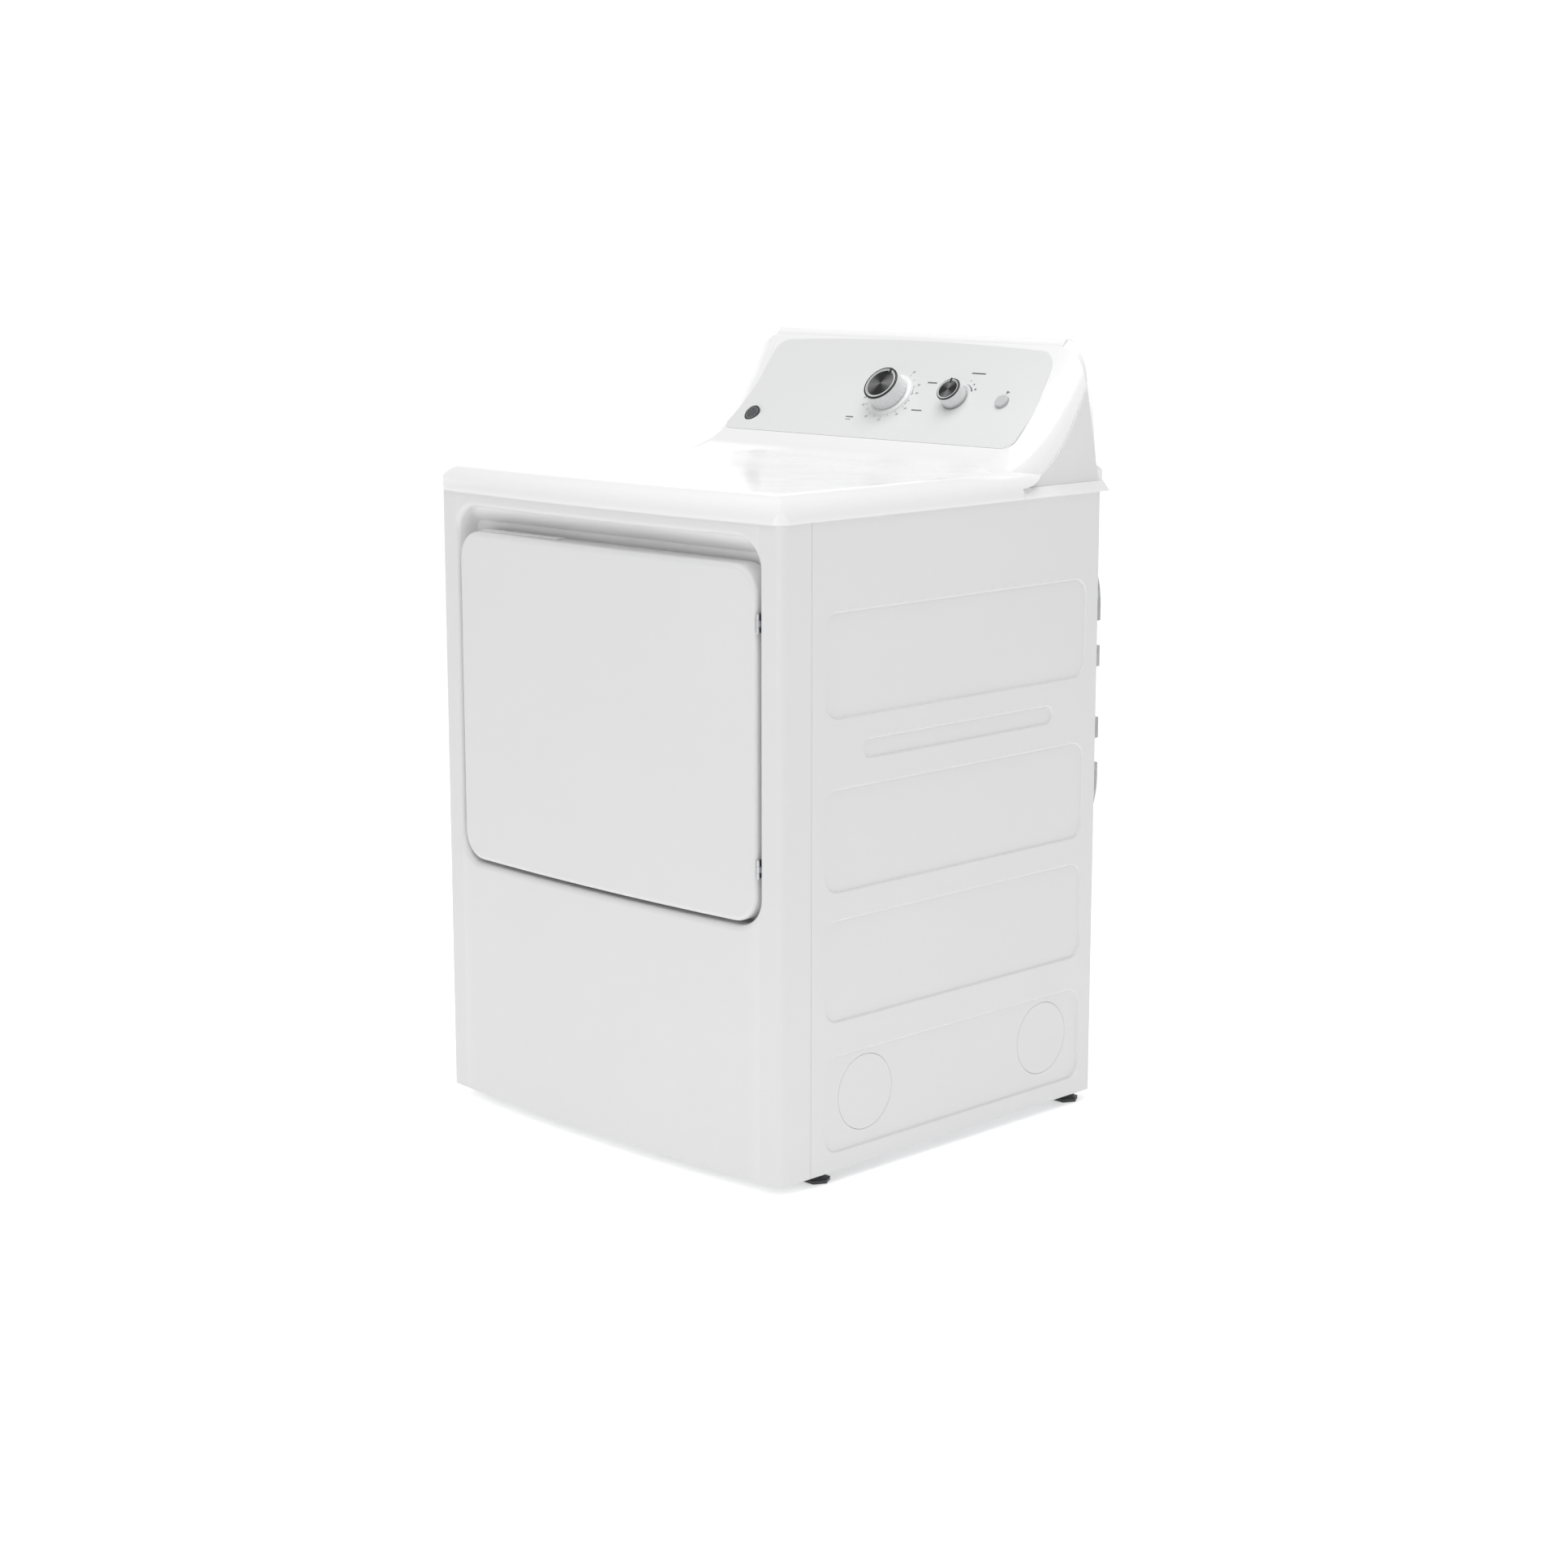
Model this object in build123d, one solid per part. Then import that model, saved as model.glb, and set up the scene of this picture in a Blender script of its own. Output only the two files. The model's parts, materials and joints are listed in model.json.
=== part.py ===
from build123d import *
from math import asin, cos, degrees, hypot, radians, sin, sqrt
import os

# Front-loading clothes dryer: cabinet on four levelling legs, bowed front with a recessed
# side-swing door, one-piece top cover that sweeps up into the backguard, drum on a rear shaft,
# belt drive, blower and rear exhaust.
# Built with y = 0 at the foremost line of the bowed front and z = 0 at the floor;
# save() moves every node so that the origin is at the middle of the plan.

# ---- overall sizes -------------------------------------------------------------------------
WIDTH = 683.0
DEPTH = 649.4            # foremost front line to the rear face of the cabinet
LEG_GAP = 15.0           # floor to the bottom edge of the panels
PANEL_HEIGHT = 873.8
SHEET = 0.8
BOW = 15.6               # how far the front's corners lie behind its middle
CORNER_R = 11.0
FRONT_WRAP = 71.3        # the front sheet wraps the corner as far as this seam
SEAM = 0.5
BASE_Z = LEG_GAP
PANEL_TOP = LEG_GAP + PANEL_HEIGHT
HALF = WIDTH / 2
INNER_HALF = HALF - SHEET
BOW_R = (HALF ** 2 + BOW ** 2) / (2 * BOW)

# ---- side embossings -----------------------------------------------------------------------
EMBOSS_DEPTH = 2.5
EMBOSS_R = 25.0
EMBOSS_FRONT = 97.0
EMBOSS_BACK = DEPTH - 24.4
BAND_SHARE = PANEL_HEIGHT / 873.8      # the upper bands keep their share of the panel's height
UPPER_BANDS = [(205.0, 345.0), (381.0, 521.0), (613.0, 755.0)]
EMBOSS_BANDS = [(25.0, 160.0)] + [(a * BAND_SHARE, b * BAND_SHARE) for a, b in UPPER_BANDS]
BAR_SPAN = (169.0, DEPTH - 94.4)
BAR_BAND = (554.0 * BAND_SHARE, 582.0 * BAND_SHARE)
VENT_R = 52.5
VENT_HEIGHT = 98.0       # above the panels' bottom edge
VENT_YS = (178.0, DEPTH - 105.4)
VENT_GAP = 0.5

# ---- drum: as large as the cabinet allows, above the motor and the blower ----------------------
DRUM_TOP_Z = PANEL_TOP + 14.9
DRUM_LOW_Z = 295.7
DRUM_SIDE = 37.5
DRUM_R = min(HALF - DRUM_SIDE, (DRUM_TOP_Z - DRUM_LOW_Z) / 2)
DOOR_MID_Z = (DRUM_TOP_Z + DRUM_LOW_Z) / 2

# ---- door recess and door ------------------------------------------------------------------
RECESS_SIDE = 37.5
RECESS_HALF = HALF - RECESS_SIDE
RECESS_LOW = DOOR_MID_Z - 240.7
RECESS_HIGH = PANEL_TOP - 18.8
RECESS_R = 41.0
RECESS_ROLL = 8.0
RECESS_FLOOR = 50.0
RECESS_SLOPE_DROP = 24.0
RECESS_SLOPE_FRONT = 22.0
DOOR_SIDE_GAP = 6.0
DOOR_HALF = RECESS_HALF - DOOR_SIDE_GAP
DOOR_LOW = RECESS_LOW + 5.0
DOOR_HIGH = RECESS_HIGH - 35.0
DOOR_R = 40.0
DOOR_ROLL = 7.0
DOOR_BACK = RECESS_FLOOR - 6.0
DOOR_INNER = 2.0
DOOR_SHEET = 1.0
THROAT_R = DRUM_R - 89.0
PLUG_R = THROAT_R - 7.0
PLUG_DEPTH = 18.0
LIP_SPAN = (43.0 - DOOR_HALF, -98.0)
LIP_PROUD = 2.5
HINGE_OFFSET = 161.0
HINGE_TALL = 25.0
HINGE_X = (DOOR_HALF + RECESS_HALF) / 2
HINGE_Y = 14.5
KNUCKLE_R = 2.2
PIN_R = 1.2
LEAF = 1.2
SIDE_HOLE_R = 4.0
SIDE_HOLE_OFFSET = 21.0
STRIKE_X = 36.0 - DOOR_HALF

# ---- top cover and console -----------------------------------------------------------------
CAP_OVERHANG = 2.0
CAP_RISE = 36.2
CAP_ROLL = 33.0
CAP_WALL = 2.5
CAP_CORNER_R = 18.0
CAP_BACK = DEPTH + 17.6
CAP_TOP = PANEL_TOP + CAP_RISE
CONSOLE_BACK = CAP_BACK - 7.0
CREST_Y = CONSOLE_BACK - 14.0
FASCIA_SLOPE = 49.64     # of the chord, degrees
FASCIA_LENGTH = 180.0
FASCIA_Y = CREST_Y - 13.4328 - FASCIA_LENGTH * cos(radians(FASCIA_SLOPE))
FASCIA_Z = CAP_TOP + 27.5
CREST_Z = FASCIA_Z + FASCIA_LENGTH * sin(radians(FASCIA_SLOPE)) + 9.8433
CONSOLE_FOOT_Y = FASCIA_Y - 88.0
FASCIA_HOLLOW = 11.8     # depth of the concave face behind its chord
CONSOLE_END = HALF - 10.5
CONSOLE_HALF = CONSOLE_END - 47.0
FASCIA_HALF_LOW = CONSOLE_HALF + 3.0
FASCIA_HALF_HIGH = CONSOLE_HALF - 8.0
FASCIA_THICK = 2.0
FASCIA_PROUD = 0.6
CONSOLE_WALL = 6.0
END_CAP = 2.0
SHOULDER = [             # distance inboard of the end, drop, how far the foot runs back and falls
    (49.0, 0.0, 0.0, 0.5),
    (30.0, 8.0, 6.0, 1.0),
    (16.0, 22.0, 20.0, 5.0),
    (6.0, 44.0, 38.0, 13.0),
    (0.0, 70.0, 52.0, 21.5),
]
END_DROP = 70.0          # how far the console has fallen away at its ends
LEDGE_DROP = 22.0        # the ledge under the end cap, below the flat top
LEDGE_Z = CAP_TOP - LEDGE_DROP
LEDGE_WIDE = 2.0

# ---- controls: place along x and up the slope, sizes -----------------------------------------
TIMER_X = 3.0
TIMER_T = 86.0
TIMER_KNOB_R = 29.5
TIMER_KNOB_H = 26.0
BEZEL_R = 36.0
BEZEL_H = 4.0
START_X = CONSOLE_HALF - 66.0
TEMP_X = START_X - 90.0
TEMP_T = 88.5
TEMP_KNOB_R = 20.0
TEMP_KNOB_H = 21.0
START_T = 86.0
START_R = 10.5
START_H = 5.0
START_TRAVEL = 3.0
START_DEEP = 9.0
BADGE_X = 36.0 - CONSOLE_HALF
BADGE_T = 34.0
BADGE_R = 13.5
KNOB_GAP = 0.6
SHAFT_R = 3.0

# ---- drum ----------------------------------------------------------------------------------
DRUM_SHEET = 1.0
BULKHEAD_Y = RECESS_FLOOR + 50.0
BULKHEAD_LOW = DOOR_MID_Z - 309.7
DRUM_FRONT = BULKHEAD_Y + 5.0
DRUM_REAR = DEPTH - 29.4
DRUM_BACK_Y = DRUM_REAR - 8.0
BULKHEAD_SHEET = 1.2
BULKHEAD_HALF = INNER_HALF - EMBOSS_DEPTH - 0.2
FLANGE_R = DRUM_R - 14.0
FLANGE_DEPTH = 26.0
RUN_GAP = 0.3
BAFFLES = 3
BAFFLE_HIGH = 62.0
BAFFLE_WALL = 2.5
SHAFT_DRUM_R = 10.0
BEARING_R = 20.0
BEARING_CLEARANCE = 0.05
TAB_HALF = 140.0
TAB_TOP = PANEL_TOP + 23.2

# ---- rear cover over the heater --------------------------------------------------------------
COVER_HALF = HALF - 10.5
COVER_HIGH = 2 * (DOOR_MID_Z - 319.7)
COVER_R = 155.0
COVER_DEPTH = 24.0
COVER_SHEET = 1.0
GROOVE_DEPTH = 16.0
GROOVES = [(-103.0, -67.0), (-37.0, 37.0), (67.0, 103.0)]
AIR_OPENING_R = DRUM_R - 34.0
HEATER_R = AIR_OPENING_R - 35.0

# ---- blower, motor, belt ---------------------------------------------------------------------
MOTOR_X = 141.5 - HALF
MOTOR_Z = 150.0
MOTOR_R = 62.0
MOTOR_SHAFT_R = 6.0
PIVOT_PIN_R = 5.0
IDLER_PIN_R = 4.0
PULLEY_R = 11.0
BLOWER_FRONT = BULKHEAD_Y + 6.0
BLOWER_BACK = BLOWER_FRONT + 62.0
BELT_Y = BLOWER_BACK + 195.0
BELT_WIDE = 8.0
BELT_THICK = 2.0
IDLER_X = MOTOR_X + 82.0
IDLER_Z = 196.0
IDLER_R = 24.0
IDLER_PIVOT_X = IDLER_X - 2.0
IDLER_PIVOT_Z = 70.0
BLOWER_R = 88.0
WHEEL_R = 74.0
EXHAUST_R = 50.8
EXHAUST_Z = LEG_GAP + VENT_HEIGHT
EXHAUST_OUT = 22.0
COLLAR_START = 2.0       # the full-size collar begins this far behind the rear panel
DUCT_STEP = 1.0          # the run inside the cabinet is this much smaller in radius
TRAP_FRONT = RECESS_FLOOR + 12.0
TRAP_BACK = BULKHEAD_Y - 1.5
WALL = 2.0
DUCT_SHEET = 1.0
FILTER_HALF = 106.0
FILTER_Y = (RECESS_FLOOR + 20.0, RECESS_FLOOR + 42.0)
FILTER_GAP = 0.4
FILTER_TOP = DOOR_MID_Z - THROAT_R + 17.3
FILTER_LOW = FILTER_TOP - 187.0
BASE_PLATE_Z = BASE_Z + 1.0
BASE_SHEET = 1.2
FLOOR_Z = BASE_PLATE_Z + BASE_SHEET
LEG_INSET = 22.0
LEG_YS = (105.0, DEPTH - 24.4)
LEG_ACROSS = 38.0
STUD_R = 5.0
THREAD_GAP = 0.05
TERMINAL_X = 91.5 - HALF

FRONT_MOST = -CAP_OVERHANG
REAR_MOST = DEPTH + COVER_DEPTH
ORIGIN_Y = (FRONT_MOST + REAR_MOST) / 2

NODES = {}


def save(name, *solids):
    """Keep a node: every solid moved so that the plan's middle is the origin."""
    shape = Compound(children=[s for given in solids for s in given.solids()])
    NODES[name] = shape.moved(Location((0, -ORIGIN_Y, 0)))


def block(x0, x1, y0, y1, z0, z1):
    return Pos((x0 + x1) / 2, (y0 + y1) / 2, (z0 + z1) / 2) * Box(x1 - x0, y1 - y0, z1 - z0)


def rod(radius, x, z, y0, y1):
    """Cylinder along y."""
    return Pos(x, (y0 + y1) / 2, z) * Rot(90, 0, 0) * Cylinder(radius, y1 - y0)


def tube(outer, inner, x, z, y0, y1):
    return rod(outer, x, z, y0, y1) - rod(inner, x, z, y0 - 1, y1 + 1)


def post(radius, x, y, z0, z1):
    """Cylinder along z."""
    return Pos(x, y, (z0 + z1) / 2) * Cylinder(radius, z1 - z0)


def along_y(face, y0, y1):
    """Extrude a sketch drawn with its own y as height, from y0 back to y1."""
    return extrude(Plane(origin=(0, y0, 0), x_dir=(1, 0, 0), z_dir=(0, -1, 0)) * face, amount=-(y1 - y0))


def upright(half, low, high, radius, y0, y1):
    """Rounded upright slab centred on x = 0."""
    face = Pos(0, (low + high) / 2) * RectangleRounded(2 * half, high - low, radius)
    return along_y(face, y0, y1)


def bowed_plan(half, inset, back, corner):
    """Plan outline with the bowed front, its two front corners rounded."""
    front = ThreePointArc((-half, BOW + inset), (0, inset), (half, BOW + inset))
    rest = Polyline((half, BOW + inset), (half, back), (-half, back), (-half, BOW + inset))
    face = make_face([front, *rest.edges()])
    corners = [v for v in face.vertices() if v.Y < back - 1]
    return fillet(corners, corner)


def standing(face, z0, z1):
    return extrude(Pos(0, 0, z0) * face, amount=z1 - z0)


def front_edges(solid, depth):
    """The closed ring of edges where a recess or a slab meets the bowed front."""
    ring = [e for e in solid.edges() if e.bounding_box().max.Y < depth]
    return ring


# ---- cabinet ---------------------------------------------------------------------------------
def recess_void(grow):
    """The space of the door recess, with the sloping shelf above the door; grow thickens it."""
    half = RECESS_HALF + grow
    void = upright(half, RECESS_LOW - grow, RECESS_HIGH + grow, RECESS_R + grow, -20, RECESS_FLOOR + grow)
    slope = hypot(RECESS_FLOOR - RECESS_SLOPE_FRONT, RECESS_SLOPE_DROP)
    lift = grow * slope / (RECESS_FLOOR - RECESS_SLOPE_FRONT)
    fall = RECESS_SLOPE_DROP / (RECESS_FLOOR - RECESS_SLOPE_FRONT)
    near = RECESS_SLOPE_FRONT + lift / fall - grow / fall
    far = RECESS_FLOOR + grow + 5
    top = RECESS_HIGH + grow
    outline = Polyline((near, top), (far, top - fall * (far - near)), (far, top + 5), (near, top + 5), close=True)
    wedge = extrude(Plane.YZ * make_face(outline), amount=half + 5, both=True)
    return void - wedge


def front_shell(grow, roll):
    """The front's wrapped body with the recess sunk into it."""
    plan = bowed_plan(HALF - grow, grow, FRONT_WRAP + 2 * grow, CORNER_R - grow)
    body = standing(plan, BASE_Z - grow, PANEL_TOP + grow) - recess_void(grow)
    ring = [e for e in front_edges(body, RECESS_ROLL + BOW) if abs(e.center().X) < RECESS_HALF + 2]
    ring = [e for e in ring if RECESS_LOW - 5 < e.center().Z < RECESS_HIGH + 5]
    return fillet(ring, roll)


def make_front_panel():
    shell = front_shell(0, RECESS_ROLL) - front_shell(SHEET, RECESS_ROLL - SHEET)
    flange = 14.0
    plan = bowed_plan(HALF - SHEET, SHEET, FRONT_WRAP, CORNER_R - SHEET)
    hole = bowed_plan(HALF - flange, flange, FRONT_WRAP + 5, CORNER_R)
    for z in (BASE_Z, PANEL_TOP - SHEET):
        shell += standing(plan, z, z + SHEET) - standing(hole, z - 1, z + SHEET + 1)
    shell -= rod(THROAT_R, 0, DOOR_MID_Z, RECESS_FLOOR - 5, RECESS_FLOOR + 5)
    shell -= block(STRIKE_X - 8, STRIKE_X + 5, RECESS_FLOOR - 5, RECESS_FLOOR + 5, DOOR_MID_Z - 11, DOOR_MID_Z + 11)
    save("front_panel", shell)


def side_feature(face, depth, grow):
    """A shallow pan pressed inwards from the outer side face, drawn in (y, z)."""
    plane = Plane(origin=(HALF, 0, 0), x_dir=(0, 1, 0), z_dir=(1, 0, 0))
    return extrude(plane * offset(face, grow), amount=-(depth + grow), taper=40)


def side_faces():
    faces = []
    mid = (EMBOSS_FRONT + EMBOSS_BACK) / 2
    for low, high in EMBOSS_BANDS:
        pan = RectangleRounded(EMBOSS_BACK - EMBOSS_FRONT, high - low, EMBOSS_R)
        faces.append(Pos(mid, BASE_Z + (low + high) / 2) * pan)
    tall = BAR_BAND[1] - BAR_BAND[0]
    bar = SlotOverall(BAR_SPAN[1] - BAR_SPAN[0], tall)
    faces.append(Pos(sum(BAR_SPAN) / 2, BASE_Z + sum(BAR_BAND) / 2) * bar)
    return faces


def make_side_panels():
    panel = block(HALF - SHEET, HALF, FRONT_WRAP + SEAM, DEPTH, BASE_Z, PANEL_TOP)
    panel += block(HALF - 14, HALF, FRONT_WRAP + SEAM, DEPTH - 3, PANEL_TOP - SHEET, PANEL_TOP)
    for face in side_faces():
        panel += side_feature(face, EMBOSS_DEPTH, SHEET)
    for face in side_faces():
        panel -= side_feature(face, EMBOSS_DEPTH, 0)
    discs = []
    for y in VENT_YS:
        spot = Pos(HALF - EMBOSS_DEPTH - SHEET / 2, y, EXHAUST_Z) * Rot(0, 90, 0)
        panel -= spot * Cylinder(VENT_R, 4 * SHEET)
        discs.append(spot * Cylinder(VENT_R - VENT_GAP, SHEET))
    save("side_panel_right", panel)
    save("side_panel_left", mirror(panel, Plane.YZ))
    save("vent_knockouts", *discs, *[mirror(d, Plane.YZ) for d in discs])


def make_rear_panel():
    panel = block(-INNER_HALF + 0.1, INNER_HALF - 0.1, DEPTH - SHEET, DEPTH, BASE_Z, PANEL_TOP)
    panel += block(-TAB_HALF, TAB_HALF, DEPTH - SHEET, DEPTH, PANEL_TOP - 1, TAB_TOP)
    panel -= rod(AIR_OPENING_R, 0, DOOR_MID_Z, DEPTH - 5, DEPTH + 5)
    panel -= rod(EXHAUST_R + 0.3, 0, EXHAUST_Z, DEPTH - 5, DEPTH + 5)
    panel -= block(TERMINAL_X - 40, TERMINAL_X + 40, DEPTH - 5, DEPTH + 5, 150, 205)
    for x in (-120, 120):
        for k in range(4):
            slot = block(x - 45, x + 45, DEPTH - 5, DEPTH + 5, 205 + 16 * k, 211 + 16 * k)
            panel -= slot
    save("rear_panel", panel)


def cover_body(grow):
    """Solid of the heater cover's bulge, sized down by grow, with its rim grooves."""
    face = Pos(0, DOOR_MID_Z) * RectangleRounded(2 * (COVER_HALF - grow), COVER_HIGH - 2 * grow, COVER_R - grow)
    plane = Plane(origin=(0, DEPTH, 0), x_dir=(-1, 0, 0), z_dir=(0, 1, 0))
    body = extrude(plane * face, amount=COVER_DEPTH - grow, taper=8)
    for low, high in GROOVES:
        for side in (-1, 1):
            x0 = side * (COVER_HALF - GROOVE_DEPTH - grow)
            x1 = side * (COVER_HALF + 5)
            body -= block(min(x0, x1), max(x0, x1), DEPTH - 1, REAR_MOST + 1,
                          DOOR_MID_Z + low - grow, DOOR_MID_Z + high + grow)
    return body


def make_heater_cover():
    cover = cover_body(0) - cover_body(COVER_SHEET)
    for radius in (HEATER_R + 10, HEATER_R - 75):
        ring = tube(radius, radius - 18, 0, DOOR_MID_Z, REAR_MOST - 3, REAR_MOST + 3)
        floor_ring = tube(radius + COVER_SHEET, radius - 18 - COVER_SHEET, 0, DOOR_MID_Z,
                          REAR_MOST - 3 - COVER_SHEET, REAR_MOST - COVER_SHEET)
        cover = cover + floor_ring - ring
    cover -= rod(8, 0, DOOR_MID_Z, REAR_MOST - 5, REAR_MOST + 5)
    save("heater_cover", cover)


def make_base_pan():
    half = INNER_HALF
    plan = bowed_plan(half, SHEET + 0.2, DEPTH - SHEET, CORNER_R)
    pan = standing(plan, BASE_PLATE_Z, FLOOR_Z)
    for side in (-1, 1):
        x = side * half
        pan += block(min(x, x - side * BASE_SHEET), max(x, x - side * BASE_SHEET),
                     FRONT_WRAP + 1, DEPTH - SHEET, BASE_PLATE_Z, BASE_Z + 20)
    pan += block(-half, half, DEPTH - SHEET - BASE_SHEET, DEPTH - SHEET, BASE_PLATE_Z, BASE_Z + 45)
    for k in range(3):
        y = 200 + 150 * k
        pan += block(60, 260, y, y + 40, FLOOR_Z - 1, FLOOR_Z + 4)
    for x, y in leg_spots():
        pan += post(11, x, y, BASE_PLATE_Z, BASE_PLATE_Z + 14)
        pan -= post(STUD_R + THREAD_GAP, x, y, 0, 60)
    save("base_pan", pan)


def leg_spots():
    x = HALF - LEG_INSET
    return [(-x, LEG_YS[0]), (x, LEG_YS[0]), (-x, LEG_YS[1]), (x, LEG_YS[1])]


def make_legs():
    names = ["leg_front_left", "leg_front_right", "leg_rear_left", "leg_rear_right"]
    for name, (x, y) in zip(names, leg_spots()):
        pad = extrude(Pos(x, y, 0) * RegularPolygon(LEG_ACROSS / 2, 6), amount=4.5)
        neck = loft([Pos(x, y, 4.5) * Circle(LEG_ACROSS / 2 * 0.8), Pos(x, y, 13.0) * Circle(9)])
        leg = pad + neck + post(STUD_R, x, y, 12, 58)
        save(name, leg)


# ---- top cover and console -------------------------------------------------------------------
def cap_body(grow):
    """Top cover's cap: bowed front, rolled front and side edges; grow makes the smaller inside."""
    half = HALF + CAP_OVERHANG - grow
    top = CAP_TOP - grow
    roll = CAP_ROLL - grow
    front = FRONT_MOST + grow
    back = CAP_BACK + 53
    side = Polyline((front, PANEL_TOP - 1), (front, top), (back, top), (back, PANEL_TOP - 1), close=True)
    side_face = make_face(side)
    nose = [v for v in side_face.vertices() if v.X < front + 1 and v.Y > top - 1]
    side_face = Plane.YZ * fillet(nose, roll)
    spin = Axis((0, BOW_R, 0), (0, 0, 1))
    reach = degrees(asin(half / (BOW_R - back))) + 1
    sector = revolve(side_face.rotate(spin, -reach), spin, 2 * reach)
    low = Polyline((-half, PANEL_TOP - 1), (-half, top), (half, top), (half, PANEL_TOP - 1), close=True)
    wide = make_face(low)
    shoulders = [v for v in wide.vertices() if v.Y > top - 1]
    tunnel = along_y(fillet(shoulders, roll), -60, back)
    plan = bowed_plan(half, front, CAP_BACK - grow, max(CAP_CORNER_R - grow, 2))
    return standing(plan, PANEL_TOP, CAP_TOP + 1) & tunnel & sector


def slope_point(t, off=0.0):
    """(y, z) at distance t up the fascia's chord and off in front of it."""
    a = radians(FASCIA_SLOPE)
    return (FASCIA_Y + t * cos(a) - off * sin(a), FASCIA_Z + t * sin(a) + off * cos(a))


def hollow_r():
    return (FASCIA_LENGTH ** 2 / 4 + FASCIA_HOLLOW ** 2) / (2 * FASCIA_HOLLOW)


def front_profile(foot_y, foot_z):
    """Edges of the console's front: concave foot, then the concave stretch behind the fascia."""
    low = slope_point(0)
    high = slope_point(FASCIA_LENGTH)
    mid = slope_point(FASCIA_LENGTH / 2, -FASCIA_HOLLOW)
    stretch = ThreePointArc(low, mid, high)
    foot = TangentArc((foot_y, foot_z), low, tangent=(1, 0))
    return [foot, stretch]


def console_centre():
    edges = front_profile(CONSOLE_FOOT_Y, CAP_TOP)
    high = slope_point(FASCIA_LENGTH)
    crest = ThreePointArc(high, (CREST_Y - 7, CREST_Z - 1.2), (CREST_Y, CREST_Z))
    round_back = ThreePointArc((CREST_Y, CREST_Z), (CREST_Y + 10, CREST_Z - 5), (CREST_Y + 14, CREST_Z - 16))
    rest = Polyline((CREST_Y + 14, CREST_Z - 16), (CONSOLE_BACK, CAP_TOP - 10),
                    (CONSOLE_FOOT_Y, CAP_TOP - 10), (CONSOLE_FOOT_Y, CAP_TOP))
    face = make_face([*edges, crest, round_back, *rest.edges()])
    return extrude(Plane.YZ * face, amount=CONSOLE_HALF, both=True)


def end_section(x, drop, foot_y, foot_z):
    """One rounded section of the console's shoulder at x; drop lowers it from the centre's crest."""
    low = slope_point(0, -drop * 0.55)
    high = slope_point(FASCIA_LENGTH - drop * 0.6, -drop * 0.45)
    mid = slope_point(FASCIA_LENGTH / 2 - drop * 0.3, -FASCIA_HOLLOW - drop * 0.45)
    front = Spline((foot_y, foot_z), low, mid, high)
    rise = (CREST_Z - slope_point(FASCIA_LENGTH)[1]) * max(0.0, 1 - drop / 30)
    lean = drop / END_DROP
    crest = (high[0] + 12 - 9 * lean, high[1] + rise)
    back = Polyline(high, crest, (CONSOLE_BACK - 10 * lean, crest[1] - 12 - 60 * lean),
                    (CONSOLE_BACK, PANEL_TOP + 6), (foot_y, PANEL_TOP + 6), (foot_y, foot_z))
    face = make_face([*front.edges(), *back.edges()])
    return Plane(origin=(x, 0, 0), x_dir=(0, 1, 0), z_dir=(1, 0, 0)) * face


def console_shoulder(wall):
    """The rounded white band between the fascia and the end cap, on the +x side."""
    sections = []
    for inboard, drop, foot_run, foot_fall in SHOULDER:
        x = CONSOLE_END - END_CAP - inboard - wall
        foot = (CONSOLE_FOOT_Y + foot_run + wall, CAP_TOP - foot_fall - wall)
        sections.append(end_section(x, drop + wall, *foot))
    return loft(sections)


def console_void():
    """The hollow behind the fascia for the timer and the switches, open at the back."""
    deep = CONSOLE_WALL
    low = slope_point(12, -FASCIA_HOLLOW - deep)
    mid = slope_point(FASCIA_LENGTH / 2, -FASCIA_HOLLOW - deep)
    high = slope_point(FASCIA_LENGTH - 14, -FASCIA_HOLLOW - deep)
    outline = Polyline(low, mid, high, (CREST_Y - 2, CREST_Z - 20), (CONSOLE_BACK + 10, CREST_Z - 30),
                       (CONSOLE_BACK + 10, CAP_TOP + 3), (low[0] + 12, CAP_TOP + 3), close=True)
    return extrude(Plane.YZ * make_face(outline), amount=CONSOLE_HALF - 12, both=True)


def fascia_plane(off=0.0, t=0.0, x=0.0):
    """Plane on the fascia's chord: local x across, local y up the slope, local z outwards."""
    y, z = slope_point(t, off)
    a = radians(FASCIA_SLOPE)
    return Plane(origin=(x, y, z), x_dir=(1, 0, 0), z_dir=(0, -sin(a), cos(a)))


def fascia_body(grow):
    """The thin curved overlay: an arc band cut to the control panel's outline."""
    radius = hollow_r()
    y, z = slope_point(FASCIA_LENGTH / 2, radius - FASCIA_HOLLOW)
    outer = radius + FASCIA_THICK - FASCIA_PROUD
    axis = Pos(0, y, z) * Rot(0, 90, 0)
    band = axis * Cylinder(outer, 700) - axis * Cylinder(radius - FASCIA_PROUD, 710)
    low = FASCIA_HALF_LOW + grow
    high = FASCIA_HALF_HIGH + grow
    top = FASCIA_LENGTH - 10
    outline = [
        Polyline((-high, top), (-low, -grow), (low, -grow), (high, top)),
        ThreePointArc((high, top), (0, FASCIA_LENGTH - 2 + grow), (-high, top)),
    ]
    face = make_face([*outline[0].edges(), outline[1]])
    upper = [v for v in face.vertices() if v.Y > top - 1]
    face = fillet(upper, 28)
    lower = [v for v in face.vertices() if v.Y < 1 and abs(v.X) > low - 1]
    face = fillet(lower, 16)
    prism = extrude(fascia_plane(-40) * face, amount=60)
    return band & prism


def surface_depth(t):
    """How far the concave face lies behind the chord at t."""
    from_mid = t - FASCIA_LENGTH / 2
    return hollow_r() - sqrt(hollow_r() ** 2 - from_mid ** 2) - FASCIA_HOLLOW + FASCIA_PROUD


def seat(x, t, lift=0.0):
    """Plane on the fascia's face at (x, t), lifted outwards."""
    return fascia_plane(surface_depth(t) + lift, t, x)


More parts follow.
